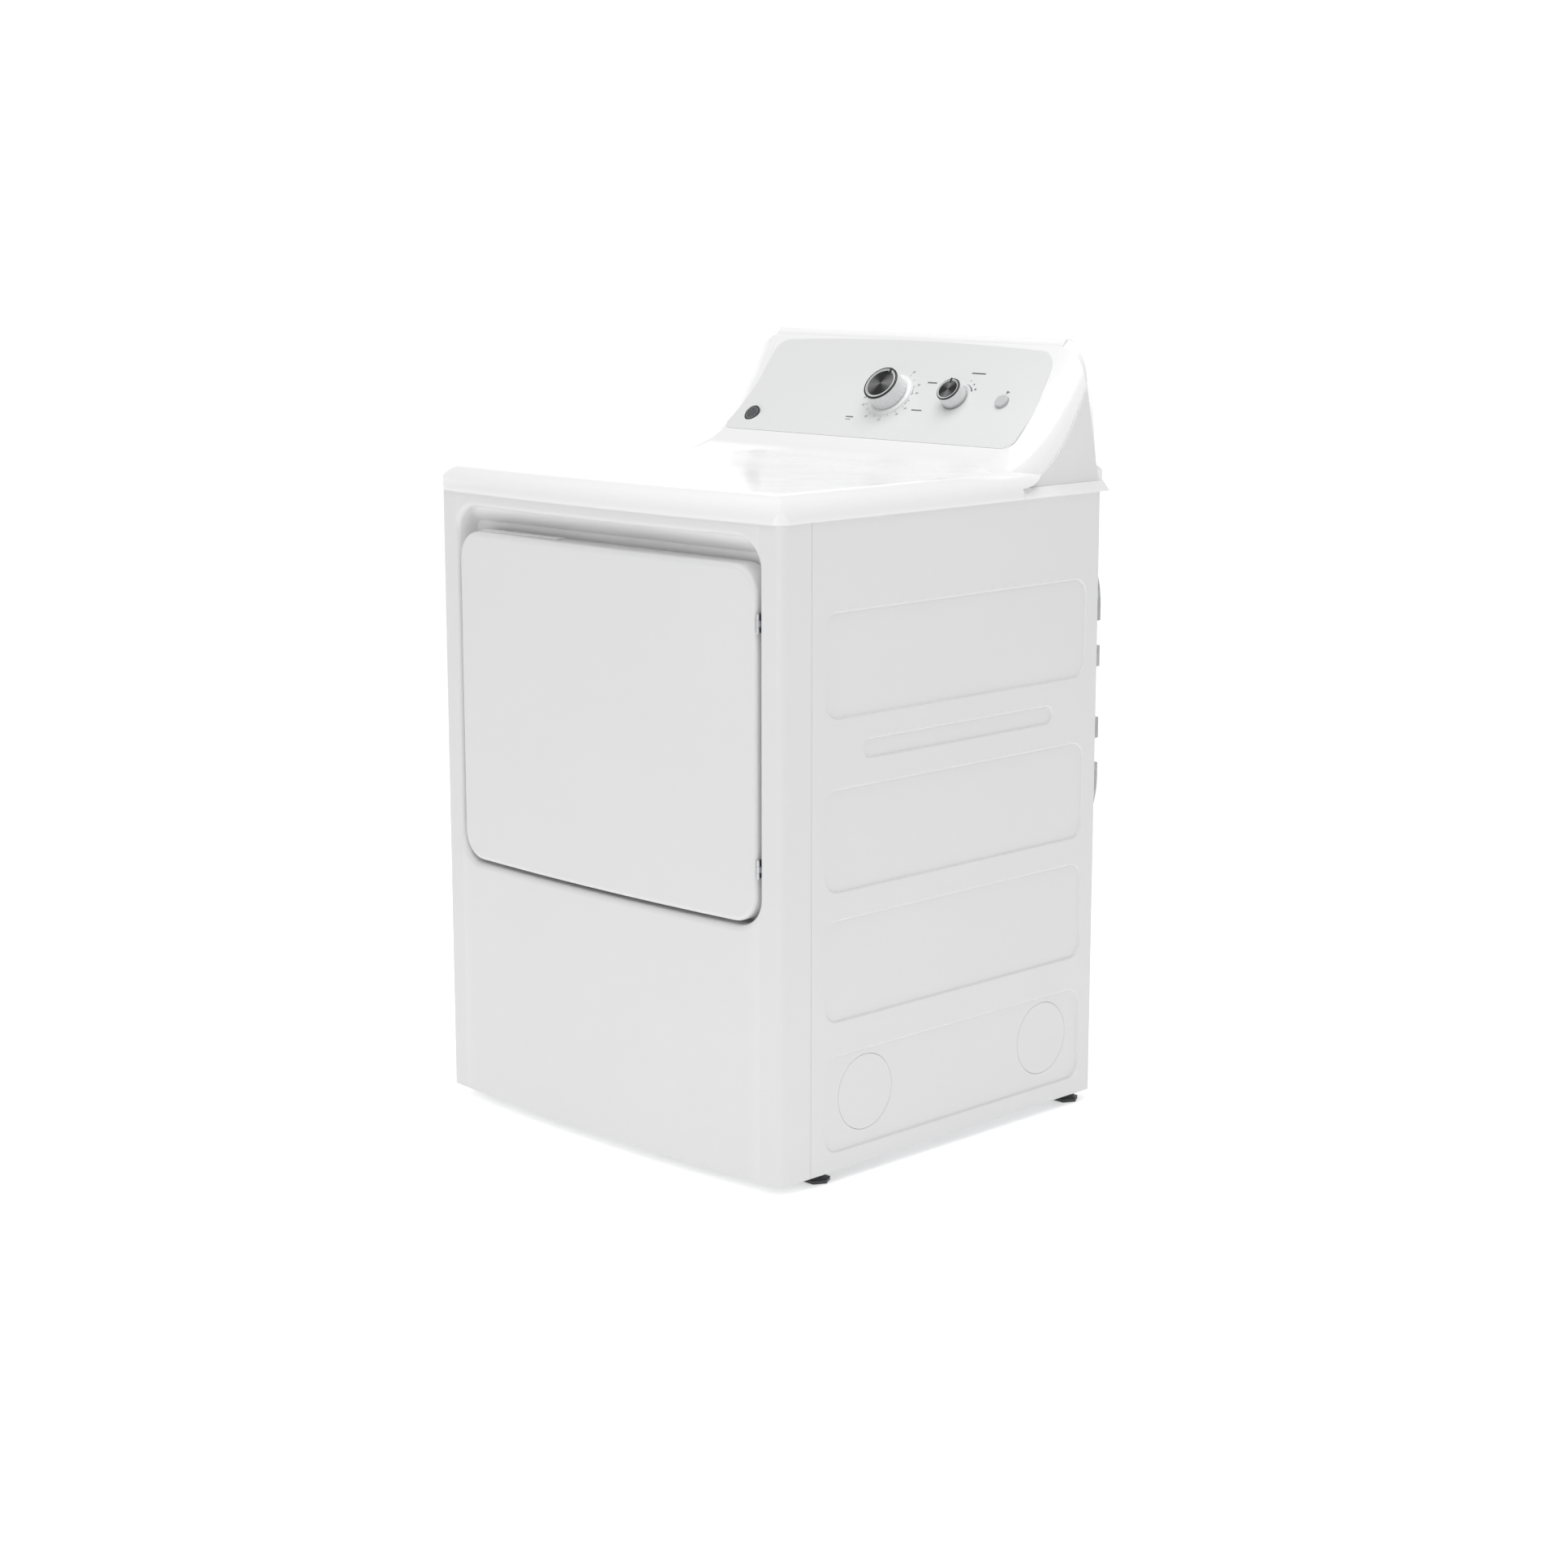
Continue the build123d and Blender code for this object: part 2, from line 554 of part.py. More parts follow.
def disc(place, radius, height, edge=0.0):
    body = extrude(place * Circle(radius), amount=height)
    if edge:
        top = body.faces().sort_by(lambda f: (f.center() - place.origin).dot(place.z_dir))[-1]
        body = fillet(top.edges(), edge)
    return body


def make_top_cover():
    cap = cap_body(0) - cap_body(CAP_WALL)
    centre = console_centre()
    right = console_shoulder(0) - console_shoulder(CONSOLE_WALL)
    left = mirror(right, Plane.YZ)
    cover = cap + (centre + right + left - standing(Rectangle(2000, 2000), PANEL_TOP - 50, PANEL_TOP + 6))
    cover -= console_void()
    cover -= cap_body(CAP_WALL) & block(-HALF, HALF, 0, CONSOLE_BACK - 4, PANEL_TOP, CAP_TOP - CAP_WALL)
    cover = with_ledge(cover)
    for side in (-1, 1):
        pocket = extrude(end_plane(side * (CONSOLE_END - END_CAP / 2)) * end_face((CONSOLE_BACK - 1, LEDGE_Z)),
                         amount=END_CAP / 2 + 0.01, both=True)
        cover -= pocket
    cover -= fascia_body(0)
    cover -= disc(seat(TIMER_X, TIMER_T, -0.6), BEZEL_R, 20)
    cover -= disc(seat(BADGE_X, BADGE_T, -0.3), BADGE_R, 20)
    for x, t, radius in control_spots():
        cover -= disc(seat(x, t, -30), radius + 1, 60)
    save("top_cover", cover)


def control_spots():
    """Holes through the fascia and cover for the control shafts."""
    return [(TIMER_X, TIMER_T, SHAFT_R + 1), (TEMP_X, TEMP_T, SHAFT_R + 1), (START_X, START_T, START_R + 0.4)]


def make_fascia():
    panel = fascia_body(0)
    for x, t, radius in control_spots():
        panel -= disc(seat(x, t, -30), radius, 60)
    panel -= disc(seat(TIMER_X, TIMER_T, -0.6), BEZEL_R, 20)
    panel -= disc(seat(TEMP_X, TEMP_T, -0.3), TEMP_KNOB_R + 2, 20)
    panel -= disc(seat(BADGE_X, BADGE_T, -0.3), BADGE_R + 0.2, 20)
    save("control_fascia", panel)
    ring = disc(seat(TIMER_X, TIMER_T, -0.6), BEZEL_R, BEZEL_H, 1.5)
    ring -= disc(seat(TIMER_X, TIMER_T, -5), SHAFT_R + 1, 20)
    save("timer_bezel", ring)
    badge = disc(seat(BADGE_X, BADGE_T, -0.3), BADGE_R, 2.2, 0.6)
    save("badge_disc", badge)


def end_front():
    """Front edge of the end cap in (y, z), from the ledge up to its apex."""
    low = (CONSOLE_FOOT_Y + 56, LEDGE_Z)
    low_front = slope_point(0, -END_DROP * 0.55 - 2)
    mid = slope_point(FASCIA_LENGTH / 2 - END_DROP * 0.3, -FASCIA_HOLLOW - END_DROP * 0.45 - 2)
    high = slope_point(FASCIA_LENGTH - END_DROP * 0.6 - 3, -END_DROP * 0.45 - 2)
    return Spline(low, low_front, mid, high), low, high


def end_face(*behind):
    """The end cap's front edge closed by the points behind it."""
    front, low, high = end_front()
    rest = Polyline(high, *behind, low)
    return make_face([*front.edges(), *rest.edges()])


def end_plane(x):
    return Plane(origin=(x, 0, 0), x_dir=(0, 1, 0), z_dir=(1, 0, 0))


def ledge_section(outer):
    """Section in (x, z) of the lip under the end cap: the space outside it, or the strip itself."""
    x = CONSOLE_END
    rim = HALF + CAP_OVERHANG
    if outer:
        points = [(x, LEDGE_Z), (x + LEDGE_WIDE, LEDGE_Z), (rim + 1, PANEL_TOP + 1), (rim + 9, PANEL_TOP + 1),
                  (rim + 9, LEDGE_Z + 1), (x, LEDGE_Z + 1)]
    else:
        points = [(x - END_CAP - 1, LEDGE_Z), (x + LEDGE_WIDE, LEDGE_Z), (rim, PANEL_TOP + 2.1), (rim, PANEL_TOP),
                  (rim - CAP_WALL, PANEL_TOP), (x, LEDGE_Z - CAP_WALL), (x - END_CAP - 1, LEDGE_Z - CAP_WALL)]
    return make_face(Polyline(*points, close=True))


def with_ledge(cover):
    """Cut the cap's side away beside the end cap, down to a narrow ledge with a sloping lip."""
    start = CONSOLE_FOOT_Y + 56
    strip = along_y(ledge_section(False), start, CAP_BACK)
    slope_cut = along_y(ledge_section(True), start, CAP_BACK + 5)
    face = end_face((CAP_BACK + 5, CREST_Z), (CAP_BACK + 5, LEDGE_Z))
    side_cut = extrude(end_plane(CONSOLE_END) * face, amount=30)
    rib = block(CONSOLE_END - 9, HALF + CAP_OVERHANG, start - 14, CAP_BACK, LEDGE_Z - CAP_WALL, CAP_TOP)
    rib = rib & cap_body(0)
    for mirrored in (False, True):
        parts = [rib, strip, slope_cut, side_cut]
        if mirrored:
            parts = [mirror(p, Plane.YZ) for p in parts]
        cover = cover + parts[0] + parts[1] - parts[2] - parts[3]
    return cover


def make_end_caps():
    face = end_face((CONSOLE_BACK - 1, LEDGE_Z))
    cap = extrude(end_plane(CONSOLE_END - END_CAP) * face, amount=END_CAP)
    save("console_end_caps", cap, mirror(cap, Plane.YZ))


def make_console_rear_cover():
    half = CONSOLE_HALF - 2
    plate = block(-half, half, CONSOLE_BACK, CONSOLE_BACK + 1.2, CAP_TOP + 0.2, CREST_Z - 24)
    for k in range(8):
        x = -140 + 40 * k
        plate -= block(x - 12, x + 12, CONSOLE_BACK - 5, CONSOLE_BACK + 5, CAP_TOP + 55, CAP_TOP + 59)
    save("console_rear_cover", plate)


# ---- controls ----------------------------------------------------------------------------------
def knob(name, x, t, radius, height, base):
    """A turned barrel, a spun-metal face with its pointer, and the shaft it drives."""
    lift = base + KNOB_GAP
    barrel = extrude(seat(x, t, lift) * Circle(radius), amount=height, taper=2.5)
    rim = barrel.faces().sort_by(lambda f: (f.center() - seat(x, t).origin).dot(seat(x, t).z_dir))[-1]
    barrel = fillet(rim.edges(), 1.2)
    barrel -= disc(seat(x, t, lift + height - 2.0), radius * 0.83, 5)
    barrel -= disc(seat(x, t, lift - 1), SHAFT_R, height - 5)
    for k in range(24):
        turn = seat(x, t, lift + 1) * Rot(0, 0, 15 * k) * Pos(radius + 0.3, 0, height / 2 - 3)
        barrel -= turn * Box(1.6, 0.9, height - 8)
    save(name, barrel)
    face = disc(seat(x, t, lift + height - 2.0), radius * 0.82, 1.4, 0.3)
    tab = seat(x, t, lift + height - 0.6) * Pos(0, radius * 0.7, 0.3) * Box(radius * 0.09, radius * 0.2, 0.6)
    save(name + "_face", face, tab)
    shaft = disc(seat(x, t, -26), SHAFT_R, lift + height + 17)
    save(name + "_shaft", shaft)


def make_controls():
    knob("timer_knob", TIMER_X, TIMER_T, TIMER_KNOB_R, TIMER_KNOB_H, BEZEL_H - 0.6)
    knob("temperature_knob", TEMP_X, TEMP_T, TEMP_KNOB_R, TEMP_KNOB_H, 0.2)
    body = seat(TIMER_X, TIMER_T, -CONSOLE_WALL - 1) * Pos(0, 0, -14) * Box(70, 64, 28)
    body -= disc(seat(TIMER_X, TIMER_T, -27), SHAFT_R + THREAD_GAP, 60)
    save("timer_body", body)
    switch = seat(TEMP_X, TEMP_T, -CONSOLE_WALL - 1) * Pos(0, 0, -12) * Box(44, 40, 24)
    switch -= disc(seat(TEMP_X, TEMP_T, -27), SHAFT_R + THREAD_GAP, 60)
    save("temperature_switch", switch)
    button = disc(seat(START_X, START_T, -START_DEEP), START_R, START_DEEP + START_H, 1.5)
    save("start_button", button)
    low = -START_DEEP - START_TRAVEL - RUN_GAP
    push = seat(START_X, START_T, low) * Pos(0, 0, -9) * Box(30, 30, 18)
    collar_high = -CONSOLE_WALL - 0.9 - low
    push += disc(seat(START_X, START_T, low), START_R + 3, collar_high)
    push -= disc(seat(START_X, START_T, low), START_R + RUN_GAP, collar_high + 1)
    save("start_switch", push)


# ---- door --------------------------------------------------------------------------------------
def door_body(grow):
    plan = bowed_plan(HALF, grow, DOOR_BACK + 30, 1)
    slab = upright(DOOR_HALF - grow, DOOR_LOW + grow, DOOR_HIGH - grow, DOOR_R - grow,
                   -20, DOOR_BACK + 2 * grow)
    body = standing(plan, DOOR_LOW - 10, DOOR_HIGH + 10) & slab
    return fillet(front_edges(body, BOW), DOOR_ROLL - grow)


def make_door():
    shell = door_body(0) - door_body(DOOR_SHEET)
    for side in (-1, 1):
        for mid in (-HINGE_OFFSET, HINGE_OFFSET):
            for off in (-SIDE_HOLE_OFFSET, SIDE_HOLE_OFFSET):
                shell -= side_hole(side, DOOR_MID_Z + mid + off)
        shell -= side_hole(side, DOOR_MID_Z)
    shell -= slot_cut(-1)
    lip = block(*LIP_SPAN, BOW + 4, BOW + 20, DOOR_HIGH - DOOR_SHEET, DOOR_HIGH + LIP_PROUD)
    top = [e for e in lip.edges() if e.center().Z > DOOR_HIGH + LIP_PROUD - 0.1]
    shell += fillet(top, 1.2)
    save("door_outer_panel", shell)
    inner = upright(DOOR_HALF - DOOR_SHEET, DOOR_LOW + DOOR_SHEET, DOOR_HIGH - DOOR_SHEET,
                    DOOR_R - DOOR_SHEET, DOOR_BACK - DOOR_INNER, DOOR_BACK)
    plug = rod(PLUG_R, 0, DOOR_MID_Z, DOOR_BACK - DOOR_INNER, DOOR_BACK + PLUG_DEPTH)
    rim = [e for e in plug.edges() if e.center().Y > DOOR_BACK + PLUG_DEPTH - 1]
    plug = fillet(rim, 8)
    inside = rod(PLUG_R - 2, 0, DOOR_MID_Z, DOOR_BACK - DOOR_INNER - 5, DOOR_BACK + PLUG_DEPTH - 2)
    inside_rim = [e for e in inside.edges() if e.center().Y > DOOR_BACK + PLUG_DEPTH - 3]
    inner = inner + plug - fillet(inside_rim, 6)
    save("door_inner_panel", inner)
    seal = tube(PLUG_R + 22, PLUG_R + 10, 0, DOOR_MID_Z, DOOR_BACK, RECESS_FLOOR - RUN_GAP)
    outer_ring = [e for e in seal.edges() if e.center().Y > RECESS_FLOOR - 1]
    save("door_seal", fillet(outer_ring, 2.5))
    blade = block(STRIKE_X - 1.5, STRIKE_X + 1.5, DOOR_BACK, DOOR_BACK + 16, DOOR_MID_Z - 7, DOOR_MID_Z + 7)
    foot = block(STRIKE_X - 9, STRIKE_X + 9, DOOR_BACK, DOOR_BACK + 1.5, DOOR_MID_Z - 14, DOOR_MID_Z + 14)
    save("door_strike", blade + foot)
    case = block(STRIKE_X - 13, STRIKE_X + 10, RECESS_FLOOR + SHEET, RECESS_FLOOR + 22,
                 DOOR_MID_Z - 16, DOOR_MID_Z + 16)
    case -= block(STRIKE_X - 8, STRIKE_X + 5, RECESS_FLOOR, RECESS_FLOOR + 18, DOOR_MID_Z - 11, DOOR_MID_Z + 11)
    save("door_catch", case)


def side_hole(side, z):
    return Pos(side * DOOR_HALF, BOW + 12, z) * Rot(0, 90, 0) * Cylinder(SIDE_HOLE_R, 8)


def slot_cut(side):
    x = side * DOOR_HALF
    cuts = []
    for mid in (-HINGE_OFFSET, HINGE_OFFSET):
        z = DOOR_MID_Z + mid
        cuts.append(block(x - 4, x + 4, BOW + 8, BOW + 16, z - HINGE_TALL / 2, z + HINGE_TALL / 2))
    return cuts[0] + cuts[1]


def make_hinges():
    fixed = []
    moving = []
    third = HINGE_TALL / 3
    for mid in (-HINGE_OFFSET, HINGE_OFFSET):
        z = DOOR_MID_Z + mid
        low = z - HINGE_TALL / 2
        middle = post(KNUCKLE_R, HINGE_X, HINGE_Y, low + third + RUN_GAP, low + 2 * third - RUN_GAP)
        strap = block(RECESS_HALF - LEAF, RECESS_HALF, BOW + 6, RECESS_FLOOR, low, low + HINGE_TALL)
        bridge = block(HINGE_X, RECESS_HALF, HINGE_Y, BOW + 7, low + third + RUN_GAP, low + 2 * third - RUN_GAP)
        bridge -= block(HINGE_X - 5, RECESS_HALF - LEAF, HINGE_Y + KNUCKLE_R / 2, BOW + 9, low, low + HINGE_TALL)
        pin = post(PIN_R, HINGE_X, HINGE_Y, low - 1, low + HINGE_TALL + 1)
        fixed.append(middle + strap + bridge + pin)
        leaf = block(DOOR_HALF, DOOR_HALF + LEAF, BOW + 5, DOOR_BACK - 2, low, low + HINGE_TALL)
        for z0 in (low, low + 2 * third):
            knuckle = post(KNUCKLE_R, HINGE_X, HINGE_Y, z0, z0 + third)
            arm = block(DOOR_HALF, HINGE_X, HINGE_Y, BOW + 6, z0, z0 + third)
            arm -= block(DOOR_HALF + LEAF, HINGE_X + 5, HINGE_Y + KNUCKLE_R / 2, BOW + 9,
                         low, low + HINGE_TALL)
            leaf += knuckle + arm
        leaf -= post(PIN_R + THREAD_GAP, HINGE_X, HINGE_Y, low - 2, low + HINGE_TALL + 2)
        moving.append(leaf)
    save("hinge_bases", *fixed)
    save("hinge_leaves", *moving)


# ---- drum --------------------------------------------------------------------------------------
def make_bulkhead():
    half = BULKHEAD_HALF
    plate = block(-half, half, BULKHEAD_Y, BULKHEAD_Y + BULKHEAD_SHEET, BULKHEAD_LOW, PANEL_TOP - 2)
    plate += block(-TAB_HALF, TAB_HALF, BULKHEAD_Y, BULKHEAD_Y + BULKHEAD_SHEET, PANEL_TOP - 3, TAB_TOP)
    plate += tube(FLANGE_R + BULKHEAD_SHEET, FLANGE_R, 0, DOOR_MID_Z, BULKHEAD_Y, BULKHEAD_Y + FLANGE_DEPTH)
    plate += rod(THROAT_R + BULKHEAD_SHEET, 0, DOOR_MID_Z, RECESS_FLOOR + SHEET, BULKHEAD_Y + BULKHEAD_SHEET)
    plate -= rod(THROAT_R, 0, DOOR_MID_Z, 0, 200)
    half = FILTER_HALF + FILTER_GAP
    plate -= block(-half, half, FILTER_Y[0] - FILTER_GAP, FILTER_Y[1] + FILTER_GAP, FILTER_TOP - 52,
                   FILTER_TOP + 12)
    half = FILTER_HALF + 12
    plate -= block(-half, half, RECESS_FLOOR, BULKHEAD_Y + 5, BULKHEAD_LOW - 1, DOOR_MID_Z - THROAT_R - 8)
    for side in (-1, 1):
        x = side * BULKHEAD_HALF
        inside = x - side * BULKHEAD_SHEET
        plate += block(min(x, inside), max(x, inside), BULKHEAD_Y, BULKHEAD_Y + 16, BULKHEAD_LOW,
                       PANEL_TOP - 28.8)
    save("front_bulkhead", plate)
    inner = FLANGE_R + BULKHEAD_SHEET
    outer = DRUM_R - DRUM_SHEET - RUN_GAP
    save("front_felt_seal", tube(outer, inner, 0, DOOR_MID_Z, BULKHEAD_Y + 7, BULKHEAD_Y + 19))
    pads = []
    for angle in (-150, -120, -60, -30):
        pad = tube(outer, inner, 0, DOOR_MID_Z, BULKHEAD_Y + 19.5, BULKHEAD_Y + FLANGE_DEPTH)
        wedge = Pos(0, 0, DOOR_MID_Z) * Rot(0, -angle, 0) * Pos(FLANGE_R + 6, BULKHEAD_Y + 20, 0) * Box(40, 40, 46)
        pads.append(pad & wedge)
    save("drum_glides", *pads)


def make_drum():
    shell = tube(DRUM_R, DRUM_R - DRUM_SHEET, 0, DOOR_MID_Z, DRUM_FRONT, DRUM_REAR)
    save("drum_shell", shell)
    inner = DRUM_R - DRUM_SHEET
    back = rod(inner, 0, DOOR_MID_Z, DRUM_BACK_Y, DRUM_BACK_Y + 1.2)
    back += rod(60, 0, DOOR_MID_Z, DRUM_BACK_Y + 1.2, DRUM_BACK_Y + 4)
    for inset, count in ((69, 30), (94, 27), (119, 24), (44, 33)):
        holes = Sketch() + [spot * Circle(4.5) for spot in PolarLocations(DRUM_R - inset, count)]
        pattern = along_y(holes, DRUM_BACK_Y - 5, DRUM_BACK_Y + 5)
        back -= Pos(0, 0, DOOR_MID_Z) * pattern
    save("drum_back", back)
    shaft = rod(SHAFT_DRUM_R, 0, DOOR_MID_Z, DRUM_BACK_Y + 4, REAR_MOST - 5)
    shaft += rod(30, 0, DOOR_MID_Z, DRUM_BACK_Y + 4, DRUM_BACK_Y + 8)
    save("drum_shaft", shaft)
    felt = tube(DRUM_R, DRUM_R - 9, 0, DOOR_MID_Z, DRUM_REAR, DEPTH - SHEET - RUN_GAP)
    save("rear_felt_seal", felt)
    baffles = []
    for k in range(BAFFLES):
        angle = 360 / BAFFLES * k + 30
        base = inner - 1.0
        outline = [
            Polyline((base - 1, -38), (base - BAFFLE_HIGH + 10, -10)),
            ThreePointArc((base - BAFFLE_HIGH + 10, -10), (base - BAFFLE_HIGH, 0), (base - BAFFLE_HIGH + 10, 10)),
            Polyline((base - BAFFLE_HIGH + 10, 10), (base - 1, 38)),
            Polyline((base - 1, 38), (base + 5, 38), (base + 5, -38), (base - 1, -38)),
        ]
        face = make_face([e for part in outline for e in part.edges()])
        y0 = DRUM_FRONT + 45
        y1 = DRUM_BACK_Y - 12
        body = along_y(face, y0, y1) & rod(inner, 0, 0, y0 - 1, y1 + 1)
        hollow = along_y(offset(face, -BAFFLE_WALL), y0 + BAFFLE_WALL, y1 - BAFFLE_WALL)
        body -= hollow & rod(inner - BAFFLE_WALL, 0, 0, y0 - 1, y1 + 1)
        baffles.append(Pos(0, 0, DOOR_MID_Z) * Rot(0, angle, 0) * body)
    save("drum_baffles", *baffles)


def make_rear_drive():
    bore = SHAFT_DRUM_R + BEARING_CLEARANCE
    bearing = tube(BEARING_R, bore, 0, DOOR_MID_Z, DEPTH + 4, REAR_MOST - COVER_SHEET)
    bearing += tube(34, bore, 0, DOOR_MID_Z, REAR_MOST - 4, REAR_MOST - COVER_SHEET)
    save("shaft_bearing", bearing)
    coil = Pos(0, REAR_MOST - 13, DOOR_MID_Z) * Rot(90, 0, 0) * Torus(HEATER_R - 30, 4.5)
    blocks = []
    for k in range(8):
        place = Pos(0, 0, DOOR_MID_Z) * Rot(0, 45 * k, 0)
        post_block = block(HEATER_R - 40, HEATER_R - 20, REAR_MOST - 20, REAR_MOST - COVER_SHEET, -7, 7)
        blocks.append(place * post_block - coil)
    save("heater_element", coil, *blocks)


# ---- blower, motor, belt -------------------------------------------------------------------------
def blower_outline(grow):
    scroll = Pos(MOTOR_X, MOTOR_Z) * Circle(BLOWER_R - grow)
    low = EXHAUST_Z - EXHAUST_R - 3 + grow
    high = EXHAUST_Z + EXHAUST_R + 3 - grow
    right = EXHAUST_R + 5 - grow
    throat = Pos((MOTOR_X + right) / 2, (low + high) / 2) * Rectangle(right - MOTOR_X, high - low)
    return scroll + throat


def make_blower():
    case = along_y(blower_outline(0), BLOWER_FRONT, BLOWER_BACK)
    case -= along_y(blower_outline(WALL), BLOWER_FRONT + WALL, BLOWER_BACK - WALL)
    case += tube(64, 61, MOTOR_X, MOTOR_Z, TRAP_BACK, BLOWER_FRONT + WALL)
    case -= rod(61, MOTOR_X, MOTOR_Z, BLOWER_FRONT - 1, BLOWER_FRONT + WALL + 1)
    case -= rod(9, MOTOR_X, MOTOR_Z, BLOWER_BACK - 5, BLOWER_BACK + 5)
    case -= rod(EXHAUST_R - DUCT_STEP - DUCT_SHEET, 0, EXHAUST_Z, BLOWER_BACK - 5, BLOWER_BACK + 5)
    low = EXHAUST_Z - EXHAUST_R - 3
    for x in (-90, 30):
        case += block(x, x + 6, BLOWER_FRONT, BLOWER_BACK, FLOOR_Z, low + WALL)
    save("blower_housing", case)
    wheel = rod(WHEEL_R, MOTOR_X, MOTOR_Z, BLOWER_BACK - 8, BLOWER_BACK - 5)
    wheel += rod(14, MOTOR_X, MOTOR_Z, BLOWER_BACK - 40, BLOWER_BACK - 5)
    wheel += tube(WHEEL_R, WHEEL_R - 10, MOTOR_X, MOTOR_Z, BLOWER_FRONT + 5, BLOWER_FRONT + 8)
    for k in range(28):
        blade = block(WHEEL_R - 14, WHEEL_R - 1, BLOWER_FRONT + 6, BLOWER_BACK - 6, -0.8, 0.8)
        wheel += Pos(MOTOR_X, 0, MOTOR_Z) * Rot(0, 360 / 28 * k, 0) * blade
    wheel -= rod(MOTOR_SHAFT_R, MOTOR_X, MOTOR_Z, 0, BLOWER_BACK + 100)
    save("blower_wheel", wheel)
    run_r = EXHAUST_R - DUCT_STEP
    collar_y = DEPTH + COLLAR_START
    duct = rod(run_r, 0, EXHAUST_Z, BLOWER_BACK, collar_y + 1)
    duct += rod(EXHAUST_R, 0, EXHAUST_Z, collar_y, DEPTH + EXHAUST_OUT)
    duct -= rod(run_r - DUCT_SHEET, 0, EXHAUST_Z, BLOWER_BACK - 1, DEPTH + EXHAUST_OUT + 1)
    save("exhaust_duct", duct)


def make_trap_duct():
    bottom = MOTOR_Z - 75
    half = FILTER_HALF + 12
    top = FILTER_TOP + 23
    left = MOTOR_X - 85
    outer = Polyline((-half, top), (half, top), (half, MOTOR_Z + 50), (MOTOR_X + 140, bottom), (left, bottom),
                     (left, MOTOR_Z + 60), (-half, FILTER_TOP - 72), close=True)
    face = make_face(outer)
    duct = along_y(face, TRAP_FRONT, TRAP_BACK)
    duct -= along_y(offset(face, -WALL), TRAP_FRONT + WALL, TRAP_BACK - WALL)
    duct -= block(-half + WALL, half - WALL, TRAP_FRONT + WALL, TRAP_BACK - WALL, FILTER_TOP - 22, top + 5)
    duct -= rod(THROAT_R + BULKHEAD_SHEET, 0, DOOR_MID_Z, 0, 200)
    duct -= rod(61, MOTOR_X, MOTOR_Z, TRAP_BACK - 5, TRAP_BACK + 5)
    save("trap_duct", duct)


def make_lint_filter():
    y0, y1 = FILTER_Y
    frame = block(-FILTER_HALF, FILTER_HALF, y0, y1, FILTER_LOW, FILTER_TOP - 14)
    frame -= block(-FILTER_HALF + 8, FILTER_HALF - 8, y0 - 1, y1 + 1, FILTER_LOW + 8, FILTER_TOP - 34)
    grip = block(-FILTER_HALF, FILTER_HALF, y0, y1, FILTER_TOP - 15, FILTER_TOP)
    grip -= block(-40, 40, y0 + 4, y1 - 4, FILTER_TOP - 12, FILTER_TOP + 1)
    for x in (-35, 35):
        frame += block(x - 2, x + 2, y0 + 4, y1 - 4, FILTER_LOW, FILTER_TOP - 30)
    save("lint_filter_frame", frame + grip)
    screens = []
    for a, b in ((-FILTER_HALF + 8, -37), (-33, 33), (37, FILTER_HALF - 8)):
        screens.append(block(a, b, (y0 + y1) / 2 - 0.3, (y0 + y1) / 2 + 0.3, FILTER_LOW + 8, FILTER_TOP - 34))
    save("lint_filter_mesh", *screens)


def make_motor():
    y = BLOWER_BACK
    case = rod(MOTOR_R, MOTOR_X, MOTOR_Z, y + 24, y + 150)
    rims = [e for e in case.edges() if e.length > 100]
    case = fillet(rims, 8)
    case += rod(20, MOTOR_X, MOTOR_Z, y + 16, y + 158)
    case -= rod(MOTOR_SHAFT_R + THREAD_GAP, MOTOR_X, MOTOR_Z, y, y + 232)
    for k in range(10):
        vent = block(35, 52, y + 12, y + 28, -3, 3)
        case -= Pos(MOTOR_X, 0, MOTOR_Z) * Rot(0, 36 * k, 0) * vent
    save("motor_case", case)
    cradle = block(MOTOR_X - 70, MOTOR_X + 70, y + 32, y + 142, FLOOR_Z, MOTOR_Z - 30)
    cradle -= rod(MOTOR_R, MOTOR_X, MOTOR_Z, y + 22, y + 152)
    cradle -= block(MOTOR_X - 80, MOTOR_X + 80, y + 38, y + 136, FLOOR_Z + 2, MOTOR_Z)
    cradle += block(MOTOR_X - 70, IDLER_PIVOT_X + 12, y + 142, y + 188, FLOOR_Z, FLOOR_Z + 2)
    cradle += block(MOTOR_X - 70, MOTOR_X + 70, y + 136, y + 142, FLOOR_Z, MOTOR_Z - 65)
    cradle += block(IDLER_PIVOT_X - 12, IDLER_PIVOT_X + 12, y + 184, y + 187, FLOOR_Z, IDLER_PIVOT_Z + 12)
    cradle += rod(PIVOT_PIN_R, IDLER_PIVOT_X, IDLER_PIVOT_Z, y + 184, y + 212)
    save("motor_bracket", cradle)
    shaft = rod(MOTOR_SHAFT_R, MOTOR_X, MOTOR_Z, BLOWER_BACK - 42, BELT_Y + 8)
    save("motor_shaft", shaft)
    pulley = rod(PULLEY_R, MOTOR_X, MOTOR_Z, BELT_Y - 8, BELT_Y + 8)
    for y in (BELT_Y - 8, BELT_Y + 6):
        pulley += rod(PULLEY_R + 3.5, MOTOR_X, MOTOR_Z, y, y + 2)
    pulley -= rod(MOTOR_SHAFT_R, MOTOR_X, MOTOR_Z, BELT_Y - 60, BELT_Y + 40)
    save("motor_pulley", pulley)


